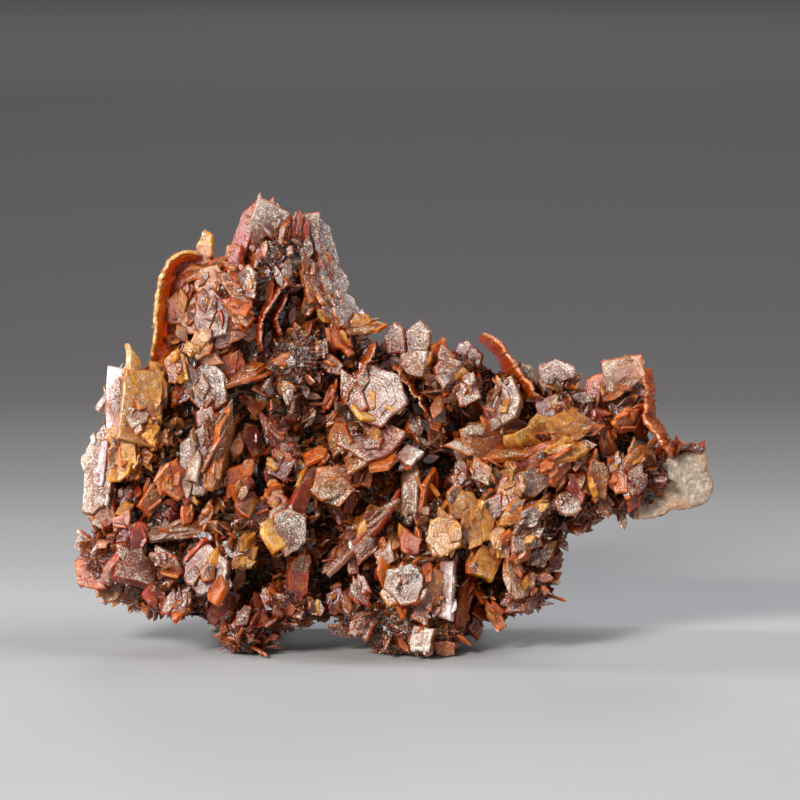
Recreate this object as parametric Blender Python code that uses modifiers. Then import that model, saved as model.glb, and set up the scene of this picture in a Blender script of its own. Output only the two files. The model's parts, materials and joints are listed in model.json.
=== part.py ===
"""Descloizite hand specimen: a crust of thin lozenge crystals on a slab of rock.

Units are metres and +Z is up. The crystals look towards -Y. The specimen stands on four flat
feet at z = 0, with the middle of its footprint at the origin.

Crystals are placed in a frame that leans back by LEAN: across (+X), up along the crystal face,
and out towards the viewer. All lengths in the lists below are millimetres, all angles degrees.
"""

import bmesh
import bpy
import numpy as np
from math import cos, radians, sin, tau
from mathutils import Matrix, Vector
from mathutils.bvhtree import BVHTree

MM = 0.001
LEAN = radians(8.0)
FACE_ORIGIN = Vector((0.0, -6.2, -1.1)) * MM

ACROSS = Vector((1.0, 0.0, 0.0))
UP = Vector((0.0, sin(LEAN), cos(LEAN)))
OUT = Vector((0.0, -cos(LEAN), sin(LEAN)))

# Rock slab behind the crystals: rings of its outline from back to front, as (out, shrink).
ROCK_OUTLINE = [
    (-39, 12), (-41, 18), (-40, 28), (-37, 39), (-32, 47), (-29, 56), (-22, 61),
    (-14, 61), (-10, 55), (-6, 47), (4, 43), (15, 42), (24, 38), (34, 37), (41, 32.5),
    (45.3, 29.8), (48.8, 29.9), (49.8, 28.6), (50.3, 27), (50.2, 25.3), (49, 23.3),
    (46, 22.4), (43, 21.9), (37, 23), (30, 22), (24, 19), (20, 12), (13, 8), (5, 7),
    (-5, 8), (-14, 9), (-24, 8), (-33, 10),
]
ROCK_RINGS = [(-11.0, 0.86), (-8.0, 0.97), (-2.5, 1.0), (0.2, 0.95)]
ROCK_CENTRE = (4.0, 27.0)
ROCK_UNEVENNESS, ROCK_SEED = 0.35, 5
# Broken blocks behind the slab: across, up, out, width, height, depth, spin, turn, tip. The
# last two reach the floor as the back feet.
ROCK_BLOCKS = [
    (-20.0, 41.0, -11.0, 24.0, 34.0, 14.0, 10, -8, -5),
    (-21.0, 24.0, -10.5, 32.0, 22.0, 18.0, -8, 8, 8),
    (-2.0, 24.0, -11.0, 30.0, 24.0, 17.0, 14, 4, -8),
    (12.0, 26.5, -9.5, 32.0, 20.0, 16.0, -16, 10, 6),
    (29.0, 30.0, -6.5, 26.0, 11.0, 12.0, -8, 12, 8),
    (-22.0, 9.0, -12.0, 12.0, 14.5, 11.0, 8, 6, 0),
    (5.5, 9.0, -12.0, 17.0, 14.5, 11.0, -8, -8, 4),
]
ROCK_VOXEL, ROCK_SHARE = 1.3, 0.036
GAP = 0.4

# Crust of small grown-together crystals that carries the big ones.
CRUST_OUTLINE = [
    (-46, 14), (-46.5, 18), (-43.5, 22), (-44, 28), (-44.3, 33), (-41.5, 37), (-42, 42.5),
    (-36, 44), (-34.3, 50), (-33.3, 57), (-30, 60), (-25, 60), (-22.3, 65), (-19, 67.5),
    (-13.5, 65.5), (-11.3, 61), (-8.5, 54), (-5, 49), (1, 47), (6, 45), (11, 46.5),
    (15, 45), (19, 41), (25, 41.5), (30, 39.5), (34, 42), (37.5, 41), (38.5, 36),
    (41.8, 31.2), (43.6, 32.8), (48.2, 33.2), (48.9, 31.4), (44.4, 31.0), (43.0, 29.0),
    (42.8, 25.5), (40, 23), (36, 22.6), (31, 22), (26.4, 19.6), (25.6, 15.6),
    (22, 12), (17.5, 8.5), (13.5, 4.6), (4, 3.5), (-5, 4.6), (-10, 6.2), (-15, 6),
    (-21, 4), (-26, 4.6), (-33, 6.3), (-40, 6.8), (-45.3, 9.8),
]
CRUST_RINGS = [(-9.0, 0.93), (-5.0, 0.99), (1.6, 1.0)]
CRUST_CENTRE = (-3.0, 28.0)
# Mounds on the crust: (across, up, out, half width, half height, half depth).
MOUNDS = [
    (-18.0, 59.0, 0.0, 7.0, 9.0, 5.0),
    (-24.5, 55.0, 0.5, 4.5, 8.0, 5.0),
    (-40.0, 37.0, 0.5, 5.0, 8.0, 6.0),
    (-31.0, 46.0, 0.0, 5.0, 7.0, 5.5),
    (-30.0, 30.0, 1.5, 8.0, 9.0, 7.0),
    (-42.0, 15.5, 1.0, 6.5, 5.5, 7.5),
    (-33.0, 12.0, 2.5, 7.0, 6.0, 7.5),
    (-26.0, 17.0, 2.5, 6.0, 7.0, 8.0),
    (-15.0, 20.0, 3.0, 5.0, 7.5, 7.5),
    (-17.0, 8.0, 2.5, 6.0, 4.5, 7.5),
    (-4.0, 17.0, 2.0, 5.0, 5.5, 7.0),
    (-3.0, 7.0, 3.0, 6.5, 4.0, 8.0),
    (4.0, 11.0, 4.0, 6.5, 7.0, 9.5),
    (8.5, 20.0, 3.5, 5.5, 6.0, 9.5),
    (18.0, 19.0, 3.0, 7.0, 6.5, 9.0),
    (18.5, 11.0, 2.0, 6.5, 5.0, 8.0),
    (16.0, 27.5, 2.0, 8.0, 6.0, 8.5),
    (25.5, 30.0, 1.0, 7.0, 6.5, 8.0),
    (-12.0, 29.0, 2.0, 8.0, 4.5, 7.5),
    (-4.0, 38.0, 1.0, 6.5, 9.0, 7.5),
    (-15.5, 45.5, 0.5, 5.5, 7.0, 6.5),
    (3.5, 31.0, 1.0, 5.5, 6.5, 7.0),
    (9.5, 42.0, 0.0, 6.5, 5.0, 6.5),
    (17.5, 39.0, 0.5, 4.5, 5.5, 6.5),
    (25.5, 39.0, -1.0, 4.5, 4.5, 6.0),
    (36.0, 38.5, -1.0, 4.0, 5.5, 6.0),
    (35.5, 28.0, -1.0, 7.5, 5.0, 7.0),
    (28.0, 23.5, 0.0, 5.0, 4.0, 7.0),
    (-22.5, 3.4, 4.5, 4.2, 3.8, 5.0),
    (3.0, 3.6, 4.5, 8.0, 4.5, 6.0),
]
CRUST_VOXEL, CRUST_SHARE = 1.0, 0.012
# How far out a crystal's middle sits where it hangs past the crust's edge.
EDGE_SEAT = 0.6
# How far out the rays start that look for the crust.
RAY_START = 60.0
# How deep a crystal's corner has to bite into the crust, and how often it is drawn back to.
BITE, MOST_DRAWS = 0.4, 20

# Thin curved plates seen edge on: (thickness, back, front, [(across, up), ...]).
WALLS = [
    (1.7, -5.0, 4.5, [(-36.9, 45.5), (-36.0, 49), (-35.6, 53), (-35.4, 57), (-34.7, 60.2),
                      (-32.9, 61.9), (-29.5, 61.8)]),
    (1.3, 1.0, 8.5, [(-16.6, 59.5), (-19, 55), (-20.9, 51.5), (-20.7, 47.3)]),
    (1.1, 1.0, 7.8, [(-16.6, 56.5), (-18.4, 52.4), (-17.2, 49.2)]),
    (1.3, 1.0, 9.5, [(-3, 48.6), (-5, 44.6), (-7, 41.2), (-8.3, 38.8)]),
    (1.1, 1.0, 9.0, [(0.2, 45.3), (3.5, 41.5), (6, 37.5)]),
    (2.6, -3.0, 7.0, [(14.0, 50.0), (16.6, 47.4), (19.4, 43.1), (22.6, 38.6)]),
    (2.2, -5.0, 5.5, [(39.6, 44.8), (40.0, 41), (40.4, 37.2), (42.6, 33.4), (44.6, 30.8)]),
]

# Outlines of a plate, unit long and unit wide, long axis up.
FORMS = {
    "rhomb": [(0.06, 0.5), (0.5, -0.04), (-0.06, -0.5), (-0.5, 0.04)],
    "hex": [(0.0, 0.5), (0.5, 0.2), (0.5, -0.24), (0.0, -0.5), (-0.5, -0.2), (-0.5, 0.24)],
    "blade": [(0.08, 0.5), (0.5, 0.26), (0.46, -0.5), (-0.46, -0.5), (-0.5, 0.2)],
    "shield": [(0.0, 0.5), (0.5, 0.08), (0.3, -0.5), (-0.3, -0.5), (-0.5, 0.02)],
    "block": [(0.5, 0.46), (0.46, -0.5), (-0.5, -0.46), (-0.44, 0.5)],
    "gable": [(0.0, 0.5), (0.5, 0.3), (0.48, -0.2), (0.2, -0.5), (-0.3, -0.5), (-0.49, -0.14),
              (-0.31, 0.2)],
}
FACE_SHARE = 0.8

# Big crystals: across, up, proud of the crust, length, width, thickness, spin, turn, tip, form.
# Spin leans the plate to the right, turn faces it right and tip faces it up.
PEAK = [
    (-20.8, 64.6, 0.6, 14.6, 8.6, 2.0, 0, 6, -4, "gable"),
    (-13.6, 64.8, 0.4, 8.8, 6.0, 3.0, 2, 15, 4, "block"),
    (-16.8, 65.0, 0.4, 6.5, 4.0, 1.3, 8, 66, 0, "blade"),
    (-20.6, 62.6, 1.8, 4.2, 2.6, 1.3, 12, -20, 6, "rhomb"),
    (-10.4, 64.4, -0.6, 9.5, 5.0, 1.5, -17, 52, 0, "blade"),
    (-8.4, 59.0, -0.4, 9.5, 5.2, 1.5, -21, 48, 0, "hex"),
    (-12.2, 58.6, 1.0, 7.5, 4.0, 1.3, -14, 40, 0, "blade"),
    (-6.0, 54.2, -0.4, 8.5, 5.0, 1.4, -25, 46, 0, "hex"),
    (-9.8, 53.6, 0.8, 6.5, 4.0, 1.3, -30, 35, 0, "rhomb"),
    (-24.2, 60.0, 1.0, 5.4, 3.6, 1.3, -58, 20, 8, "shield"),
    (-24.5, 57.1, 1.4, 5.4, 3.6, 1.3, -62, 18, 6, "shield"),
    (-24.0, 54.6, 1.8, 5.2, 3.4, 1.2, -66, 20, 4, "shield"),
    (-23.4, 52.2, 1.8, 4.8, 3.4, 1.2, -60, 22, 4, "shield"),
    (-22.6, 60.2, 0.8, 8.6, 4.2, 1.5, 3, -30, 2, "blade"),
    (-28.4, 53.6, 1.4, 7.8, 5.2, 1.5, 10, -16, 6, "hex"),
    (-28.4, 58.6, 0.6, 5.5, 4.2, 1.5, 22, -20, 8, "blade"),
    (-33.8, 54.0, 0.6, 5.6, 4.0, 1.3, 0, -24, 0, "blade"),
    (-31.2, 52.4, 1.0, 5.0, 3.2, 1.3, 20, -20, 4, "rhomb"),
    (-33.8, 58.2, 0.8, 4.6, 2.8, 1.0, 8, -40, 0, "shield"),
    (-29.4, 63.4, -0.6, 9.2, 3.8, 1.3, 9, -14, 0, "shield"),
    (-29.5, 61.0, 1.4, 8.0, 3.6, 1.0, 67, -62, 0, "blade"),
    (-14.4, 61.0, 1.2, 4.6, 3.0, 1.2, 20, 10, 10, "rhomb"),
    (-12.6, 54.6, 1.2, 4.6, 3.0, 1.2, 40, 20, 0, "shield"),
]
LEFT = [
    (-40.8, 39.2, -0.2, 13.4, 8.2, 4.4, 4, 24, 2, "block"),
    (-36.6, 42.8, 1.0, 6.6, 4.2, 1.6, 6, 8, 4, "blade"),
    (-33.6, 45.2, 0.8, 5.4, 3.8, 1.5, -10, -14, 6, "blade"),
    (-33.0, 40.8, 1.2, 5.4, 4.2, 1.5, 24, -10, 0, "rhomb"),
    (-43.2, 34.2, 0.8, 4.4, 3.4, 1.6, -14, -20, 6, "rhomb"),
    (-38.0, 37.0, 1.6, 5.0, 3.6, 1.5, 30, -6, 4, "rhomb"),
    (-28.6, 41.6, 1.6, 9.2, 6.0, 1.7, 0, -12, 2, "hex"),
    (-25.0, 44.8, 1.2, 6.0, 4.4, 1.6, 18, 8, 8, "blade"),
    (-23.4, 43.8, 2.0, 7.8, 4.4, 1.1, 70, -56, 0, "blade"),
    (-30.0, 48.2, 1.0, 5.6, 4.4, 1.4, -12, -14, 4, "rhomb"),
    (-26.4, 49.2, 1.2, 5.2, 3.4, 1.3, 34, 4, 4, "rhomb"),
    (-45.4, 30.0, 0.6, 15.0, 5.4, 2.2, 4, -24, 0, "blade"),
    (-45.2, 22.6, 0.4, 7.4, 4.8, 1.8, -8, -20, 4, "hex"),
    (-40.0, 29.0, 1.0, 4.4, 3.2, 1.5, 20, -16, 6, "rhomb"),
    (-41.4, 25.0, 0.8, 5.0, 3.2, 1.4, 26, -10, 4, "rhomb"),
    (-37.0, 25.0, 1.8, 6.8, 3.2, 1.3, 35, 20, 8, "blade"),
    (-34.0, 27.2, 1.6, 7.4, 4.4, 1.5, 2, 16, 4, "hex"),
    (-30.6, 30.2, 1.8, 12.0, 5.8, 1.7, 2, -12, 2, "hex"),
    (-27.8, 33.4, 2.2, 5.0, 3.2, 1.2, 12, 20, 4, "rhomb"),
    (-25.4, 32.6, 2.6, 14.4, 4.6, 1.3, 9, 62, 0, "blade"),
    (-23.8, 27.4, 1.8, 7.4, 5.2, 1.6, 30, 14, 4, "rhomb"),
    (-29.0, 37.0, 1.4, 5.4, 3.8, 1.4, 24, -8, 8, "rhomb"),
    (-22.0, 33.6, 1.2, 6.4, 3.6, 1.4, -22, 30, 0, "blade"),
]
LOWER_LEFT = [
    (-21.2, 21.4, 2.4, 7.4, 6.4, 1.8, 38, 6, 12, "hex"),
    (-23.0, 15.4, 1.6, 6.4, 4.2, 1.5, 50, 10, 8, "rhomb"),
    (-32.0, 19.6, 2.6, 12.2, 3.6, 1.1, 81, -52, 0, "blade"),
    (-35.6, 21.8, 1.2, 5.4, 4.2, 1.5, -14, -10, 4, "rhomb"),
    (-31.8, 22.6, 1.8, 4.8, 2.6, 1.2, 4, 24, 0, "shield"),
    (-28.8, 22.4, 1.8, 4.8, 2.6, 1.2, 16, -20, 0, "shield"),
    (-42.0, 20.6, 1.0, 5.6, 3.8, 1.5, 24, -12, 6, "rhomb"),
    (-39.4, 18.6, 1.4, 5.6, 3.2, 1.5, 4, 14, 0, "blade"),
    (-44.4, 17.0, 1.0, 4.8, 3.0, 1.4, 35, -6, 4, "rhomb"),
    (-48.4, 17.4, 0.0, 5.0, 3.8, 1.5, -20, -26, 4, "rhomb"),
    (-40.2, 13.8, 1.4, 6.2, 7.6, 3.4, 6, 20, 22, "block"),
    (-47.0, 12.6, 0.4, 5.6, 4.6, 2.4, -14, -12, 8, "block"),
    (-44.0, 9.6, 0.6, 4.6, 3.4, 1.5, 40, -6, -6, "rhomb"),
    (-28.6, 13.2, 2.2, 9.0, 7.2, 2.6, 6, -14, 10, "hex"),
    (-29.4, 16.6, 1.4, 6.4, 3.6, 1.0, 42, 50, 0, "blade"),
    (-26.4, 8.2, 1.6, 5.4, 4.2, 2.2, 24, 16, 4, "block"),
    (-33.2, 8.6, 1.4, 6.0, 4.0, 1.5, 35, -8, 0, "rhomb"),
    (-37.2, 9.8, 1.2, 5.6, 3.8, 1.5, -18, 10, 0, "rhomb"),
    (-35.4, 15.2, 1.6, 5.4, 3.6, 1.4, -36, -16, 6, "rhomb"),
    (-19.2, 9.6, 1.6, 5.4, 3.8, 1.5, 10, -8, 6, "rhomb"),
]
MIDDLE = [
    (-15.3, 19.2, 2.2, 9.4, 5.6, 1.7, 6, 8, 4, "hex"),
    (-14.8, 12.4, 1.8, 6.8, 3.8, 2.2, 2, 18, 0, "block"),
    (-14.2, 24.6, 2.4, 7.0, 3.2, 1.4, 24, 34, 0, "blade"),
    (-17.6, 24.2, 1.6, 5.2, 3.8, 1.4, -12, -16, 4, "rhomb"),
    (-17.6, 29.4, 1.8, 6.4, 5.4, 1.6, -28, -6, 4, "rhomb"),
    (-9.8, 27.0, 2.2, 8.4, 5.2, 1.6, 74, -4, 14, "hex"),
    (-11.8, 31.2, 0.9, 4.2, 3.0, 1.1, 66, -50, 0, "blade"),
    (-18.0, 34.2, 1.6, 7.4, 3.4, 1.3, -38, 26, 0, "blade"),
    (-4.4, 28.4, 2.4, 6.2, 3.8, 1.8, 10, 22, 4, "blade"),
    (-7.4, 18.8, 4.0, 15.6, 4.2, 1.2, 47, -54, 0, "blade"),
    (-4.8, 16.8, 2.6, 6.4, 4.6, 1.5, 10, 10, 4, "rhomb"),
    (-2.8, 21.6, 2.2, 6.2, 4.2, 1.5, 66, -6, 18, "rhomb"),
    (-9.0, 22.6, 0.8, 4.6, 2.6, 1.1, -36, -20, 0, "shield"),
    (-6.4, 24.0, 0.8, 4.6, 2.4, 1.1, 20, 24, 0, "shield"),
    (-1.2, 15.4, 1.0, 5.6, 4.0, 1.4, 16, -16, 4, "rhomb"),
    (-3.4, 33.6, 1.6, 8.2, 10.4, 1.9, 8, -10, 26, "hex"),
    (-2.9, 41.0, 1.6, 10.8, 9.8, 2.0, -14, -8, 10, "hex"),
    (-12.8, 37.8, 1.2, 4.6, 3.2, 1.2, 30, -24, 10, "rhomb"),
    (-10.0, 40.4, 1.8, 4.2, 2.2, 1.0, 20, -30, 0, "shield"),
    (-16.4, 41.4, 1.4, 4.6, 2.8, 1.2, -20, -16, 8, "rhomb"),
    (-17.0, 46.0, 1.4, 4.2, 2.6, 1.1, 58, 4, 8, "rhomb"),
    (-11.2, 47.6, 1.4, 4.6, 2.8, 1.1, 25, 12, 8, "rhomb"),
    (-9.2, 45.2, 1.6, 4.8, 2.8, 1.1, -58, 10, 8, "shield"),
    (-8.2, 49.6, 0.8, 5.8, 3.2, 1.3, -34, 30, 0, "hex"),
    (3.2, 26.2, 2.6, 8.8, 3.2, 1.3, 2, -34, 2, "blade"),
    (5.6, 26.0, 2.8, 7.4, 3.6, 1.1, 10, 60, 0, "blade"),
    (3.4, 35.4, 1.6, 5.4, 3.6, 1.3, -22, 20, 6, "rhomb"),
    (2.2, 31.0, 2.2, 3.8, 3.4, 1.4, 40, -20, 26, "block"),
]
SADDLE = [
    (-4.6, 51.8, 0.4, 4.6, 3.6, 1.5, -30, 10, 4, "hex"),
    (-3.8, 51.4, 0.8, 6.4, 3.0, 1.0, 84, -50, 0, "blade"),
    (-3.6, 53.2, 0.0, 4.6, 1.6, 0.9, 14, -10, 0, "blade"),
    (0.4, 49.4, 0.4, 5.6, 3.4, 1.6, -8, -14, 0, "blade"),
    (4.2, 49.8, 0.2, 6.6, 4.4, 2.2, 5, -18, 2, "blade"),
    (3.6, 45.2, 1.6, 4.8, 5.2, 2.2, 6, -26, 20, "block"),
    (7.2, 47.4, 0.4, 5.0, 3.6, 1.5, 20, 20, 6, "rhomb"),
    (9.2, 44.6, 1.4, 5.4, 4.6, 1.6, -10, 8, 14, "hex"),
    (11.6, 41.0, 1.6, 5.8, 5.0, 1.6, 16, -6, 8, "rhomb"),
    (13.0, 50.4, -0.6, 3.6, 3.0, 2.2, 12, -20, 6, "hex"),
    (13.2, 47.2, 0.6, 4.6, 3.2, 1.5, -24, -10, 6, "rhomb"),
    (17.6, 39.4, 2.0, 9.2, 5.6, 1.6, 18, -32, 8, "hex"),
    (15.6, 36.2, 1.8, 5.2, 3.8, 1.4, -16, 14, 4, "rhomb"),
    (7.0, 37.4, 1.6, 4.8, 3.6, 1.3, 34, 4, 8, "rhomb"),
    (20.8, 43.6, 0.6, 4.8, 3.0, 1.3, -30, 20, 4, "blade"),
]
RIGHT = [
    (25.6, 43.8, 0.2, 5.0, 6.0, 1.8, -6, -6, 16, "hex"),
    (27.6, 42.6, 0.4, 4.8, 2.6, 1.3, 64, 20, 10, "shield"),
    (23.6, 38.4, 1.6, 5.8, 5.4, 1.6, 22, -10, 10, "rhomb"),
    (26.6, 37.4, 1.8, 5.8, 3.0, 1.6, 4, 24, 0, "blade"),
    (28.8, 37.0, 1.4, 4.8, 2.8, 1.2, 22, -22, 4, "shield"),
    (28.4, 35.2, 2.6, 7.2, 5.0, 1.2, 74, -52, 0, "rhomb"),
    (27.6, 33.2, 2.8, 8.2, 5.0, 1.2, 86, -46, 0, "hex"),
    (17.6, 33.4, 3.4, 15.0, 7.0, 1.6, 84, -50, 0, "hex"),
    (24.2, 31.0, 2.2, 5.6, 4.0, 1.4, 40, 6, -6, "rhomb"),
    (25.8, 28.8, 2.0, 5.6, 3.6, 1.4, 12, 24, -4, "rhomb"),
    (10.4, 27.4, 2.0, 5.6, 4.0, 1.4, 14, -10, 4, "rhomb"),
    (14.0, 28.6, 0.8, 5.6, 4.0, 1.4, -36, -6, 6, "rhomb"),
    (10.8, 23.6, 2.0, 5.8, 5.0, 1.6, 30, 6, 4, "hex"),
    (15.0, 23.8, 2.6, 6.4, 4.4, 1.5, 25, -6, 4, "rhomb"),
    (18.2, 22.8, 2.6, 6.0, 4.0, 1.4, 50, 8, 4, "rhomb"),
    (21.2, 22.0, 2.2, 6.4, 4.0, 1.4, 60, 14, 6, "rhomb"),
    (22.4, 27.4, 2.4, 7.4, 4.6, 1.4, 56, 8, 8, "hex"),
    (19.2, 29.2, 2.4, 5.4, 3.6, 1.4, -20, 20, 0, "rhomb"),
    (23.8, 22.6, 2.4, 5.2, 3.0, 1.0, 16, 58, 0, "blade"),
    (21.6, 18.2, 2.4, 7.2, 5.2, 1.2, 44, 10, 30, "hex"),
    (22.6, 15.4, 1.8, 5.8, 4.4, 1.2, 56, 14, 24, "rhomb"),
    (16.4, 18.6, 0.8, 5.0, 3.8, 1.4, 10, -8, 4, "rhomb"),
    (14.2, 14.6, 2.4, 5.2, 4.8, 2.6, 22, 18, 14, "block"),
    (7.6, 19.2, 0.8, 7.8, 5.4, 1.6, 8, -10, 4, "hex"),
    (2.8, 17.4, 2.8, 5.6, 4.2, 1.6, -26, -6, 6, "rhomb"),
]
LOWER_RIGHT = [
    (2.6, 11.0, 1.0, 7.4, 7.2, 1.8, 14, -6, 10, "hex"),
    (-0.4, 9.4, 2.2, 8.4, 3.6, 1.0, -24, 58, 0, "blade"),
    (9.2, 9.8, 3.0, 10.4, 3.8, 1.6, 3, -44, 0, "block"),
    (6.6, 11.2, 1.4, 6.4, 3.6, 1.5, 6, 16, 4, "blade"),
    (11.4, 9.4, 2.6, 10.0, 3.6, 1.1, 14, 56, 0, "blade"),
    (4.6, 2.8, 1.8, 4.6, 4.0, 2.2, 10, -18, 8, "block"),
    (4.4, 6.2, 2.4, 4.6, 3.6, 1.5, -30, 6, 4, "rhomb"),
    (-8.8, 8.8, 1.6, 5.6, 3.8, 1.5, 20, -10, 4, "rhomb"),
    (-4.8, 9.8, 2.2, 5.4, 3.6, 1.4, -32, 8, 6, "rhomb"),
    (-5.0, 4.8, 1.4, 4.8, 3.6, 1.4, 46, -4, -6, "rhomb"),
    (18.8, 13.0, 2.6, 7.8, 3.6, 1.0, -18, 52, 0, "blade"),
    (19.4, 15.2, 2.4, 4.8, 3.4, 1.1, 56, 6, 8, "rhomb"),
    (20.6, 11.4, 1.4, 5.2, 3.4, 1.3, 26, 16, 0, "rhomb"),
    (19.4, 8.4, 1.0, 5.4, 3.8, 1.4, 48, 8, 0, "rhomb"),
    (15.6, 6.6, 1.8, 5.6, 2.6, 1.3, -32, 10, 0, "shield"),
    (9.6, 3.6, 1.8, 4.8, 3.6, 1.4, 62, 0, -4, "rhomb"),
    (12.8, 4.4, 1.2, 4.6, 3.0, 1.3, -14, 20, 0, "rhomb"),
    (25.2, 14.6, 0.8, 4.6, 3.2, 1.3, 30, 24, 0, "rhomb"),
]
ARM = [
    (36.2, 42.4, 0.8, 8.2, 7.0, 1.6, -12, -8, 4, "block"),
    (32.2, 41.4, 0.2, 5.6, 4.4, 1.8, 12, -14, 10, "hex"),
    (35.6, 36.6, 2.0, 4.8, 3.6, 1.1, 44, 40, 0, "blade"),
    (39.0, 36.2, 1.0, 5.6, 3.8, 1.2, 24, 50, 0, "blade"),
    (33.4, 33.8, 1.6, 5.8, 2.8, 1.2, -6, 30, 0, "blade"),
    (35.2, 30.8, 2.0, 4.8, 4.2, 1.4, 30, -22, 8, "rhomb"),
    (38.8, 31.0, 1.6, 6.4, 3.8, 1.1, 52, 20, 26, "blade"),
    (38.4, 27.8, 1.4, 4.8, 3.0, 1.3, 16, 14, 0, "rhomb"),
    (34.8, 27.2, 1.8, 4.8, 3.4, 1.3, -8, -10, 4, "shield"),
    (31.8, 27.6, 1.8, 5.8, 4.0, 1.7, 10, 20, 4, "block"),
    (28.6, 26.2, 2.0, 5.0, 3.4, 1.4, -18, 12, 0, "rhomb"),
    (27.2, 23.8, 1.6, 4.8, 4.2, 1.3, 32, -16, 18, "hex"),
    (30.0, 31.0, 1.6, 5.2, 3.2, 1.3, 24, 26, 0, "rhomb"),
    (33.0, 23.2, 0.8, 4.6, 3.2, 1.3, -34, 4, -6, "rhomb"),
    (37.6, 24.2, 0.6, 4.6, 3.0, 1.3, 24, 10, -6, "rhomb"),
    (42.4, 32.4, 0.4, 4.4, 2.6, 1.2, 18, 34, 4, "shield"),
    (44.6, 33.2, -0.6, 3.4, 2.2, 1.2, 8, 24, 0, "shield"),
    (46.6, 33.0, -0.6, 3.2, 2.0, 1.2, -14, 10, 0, "shield"),
    (48.2, 32.6, -0.6, 3.2, 2.0, 1.2, 20, 20, 0, "shield"),
    (31.6, 37.4, 1.0, 5.2, 3.4, 1.3, -30, 14, 6, "rhomb"),
]
CRYSTALS = PEAK + LEFT + LOWER_LEFT + MIDDLE + SADDLE + RIGHT + LOWER_RIGHT + ARM

# Small crystals scattered over the crust: how many, how long, and how far apart at least.
SCATTER_COUNT = 34
SCATTER_LENGTH = (3.0, 6.4)
SCATTER_SPACING = 3.6
SCATTER_SEED = 11
SCATTER_OUT = (-7.5, 3.0)
# How proud of the crust they stand, their width and thickness as shares, and their lean.
SCATTER_PROUD = 0.4
SCATTER_SHAPE = (0.66, 0.4)
SCATTER_LEAN = radians(52)
# A piece below this many cubic millimetres isn't a crystal of its own.
LARGEST_CRUMB = 2.0

# Box that cuts the feet flat: half its width, half its depth, and its height.
FLOOR_CUT = (80.0, 60.0, 30.0)
ROCK_COLOUR, ROCK_ROUGH = (0.35, 0.30, 0.25), 0.9
CRYSTAL_COLOUR, CRYSTAL_ROUGH = (0.30, 0.06, 0.02), 0.35


def place(across, up, out):
    """A point of the leaning frame, in metres in the world."""
    return FACE_ORIGIN + (ACROSS * across + UP * up + OUT * out) * MM


def leaning_axes(columns):
    """A rotation given in the leaning frame, turned into the world."""
    return Matrix((ACROSS, UP, OUT)).transposed() @ columns


def remove_startup_objects():
    for obj in list(bpy.data.objects):
        bpy.data.objects.remove(obj)


def new_collection(name, helpers=False):
    made = bpy.data.collections.new(name)
    bpy.context.scene.collection.children.link(made)
    made.hide_render = helpers
    return made


def new_material(name, colour, roughness):
    made = bpy.data.materials.new(name)
    made.use_nodes = True
    shader = made.node_tree.nodes["Principled BSDF"]
    shader.inputs["Base Color"].default_value = (*colour, 1.0)
    shader.inputs["Roughness"].default_value = roughness
    made.diffuse_color = (*colour, 1.0)
    return made


def new_object(name, points, faces, collection):
    mesh = bpy.data.meshes.new(name)
    mesh.from_pydata([tuple(p) for p in points], [], [tuple(f) for f in faces])
    made = bpy.data.objects.new(name, mesh)
    collection.objects.link(made)
    return made


def as_helper(obj):
    obj.hide_render = True
    obj.display_type = "WIRE"
    return obj


def evaluated_mesh(obj):
    """The mesh of an object with its modifiers applied."""
    graph = bpy.context.evaluated_depsgraph_get()
    return bpy.data.meshes.new_from_object(obj.evaluated_get(graph))


def ring_solid(rings):
    """Points and faces of a closed solid through rings of equal length, capped at both ends."""
    size = len(rings[0])
    points = [point for ring in rings for point in ring]
    faces = [tuple(reversed(range(size)))]
    for level in range(len(rings) - 1):
        low, high = level * size, (level + 1) * size
        for i in range(size):
            j = (i + 1) % size
            faces.append((low + i, low + j, high + j, high + i))
    faces.append(tuple(range((len(rings) - 1) * size, len(rings) * size)))
    return points, faces


def outline_rings(outline, levels, centre):
    """The clockwise outline repeated at each level of out, shrunk towards a centre."""
    turned = outline[::-1]
    return [
        [
            place(centre[0] + (a - centre[0]) * share, centre[1] + (u - centre[1]) * share, out)
            for a, u in turned
        ]
        for out, share in levels
    ]


def plate_rings(form, length, width, thickness):
    """Back and bevelled front of a plate, in its own axes."""
    outline = [(a * width, u * length) for a, u in reversed(FORMS[form])]
    levels = [(-thickness / 2, 1.0), (thickness / 2, FACE_SHARE)]
    return [[Vector((a * s, u * s, out)) for a, u in outline] for out, s in levels]


def grain_solid(centre, turned, length, width, thickness):
    """A flattened eight-faced crystal about a point of the world."""
    reach = [(0, length, 0), (width, 0, 0), (0, -length, 0), (-width, 0, 0)]
    tips = [(0, 0, -thickness)] + reach + [(0, 0, thickness)]
    points = [centre + (turned @ Vector(tip)) * MM / 2 for tip in tips]
    faces = [(0, i + 1, (i + 1) % 4 + 1) for i in range(4)]
    return points, faces + [(5, (i + 1) % 4 + 1, i + 1) for i in range(4)]


def plate_solid(centre, turned, form, size):
    """A bevelled plate about a point of the world, turned by a 3 x 3 rotation."""
    rings = plate_rings(form, *size)
    placed = [[centre + (turned @ corner) * MM for corner in ring] for ring in rings]
    return ring_solid(placed)


def crystal_rotation(spin, turn, tip):
    spun = Matrix.Rotation(-radians(spin), 3, "Z")
    tipped = Matrix.Rotation(-radians(tip), 3, "X")
    faced = Matrix.Rotation(radians(turn), 3, "Y")
    return leaning_axes(spun @ tipped @ faced)


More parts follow.
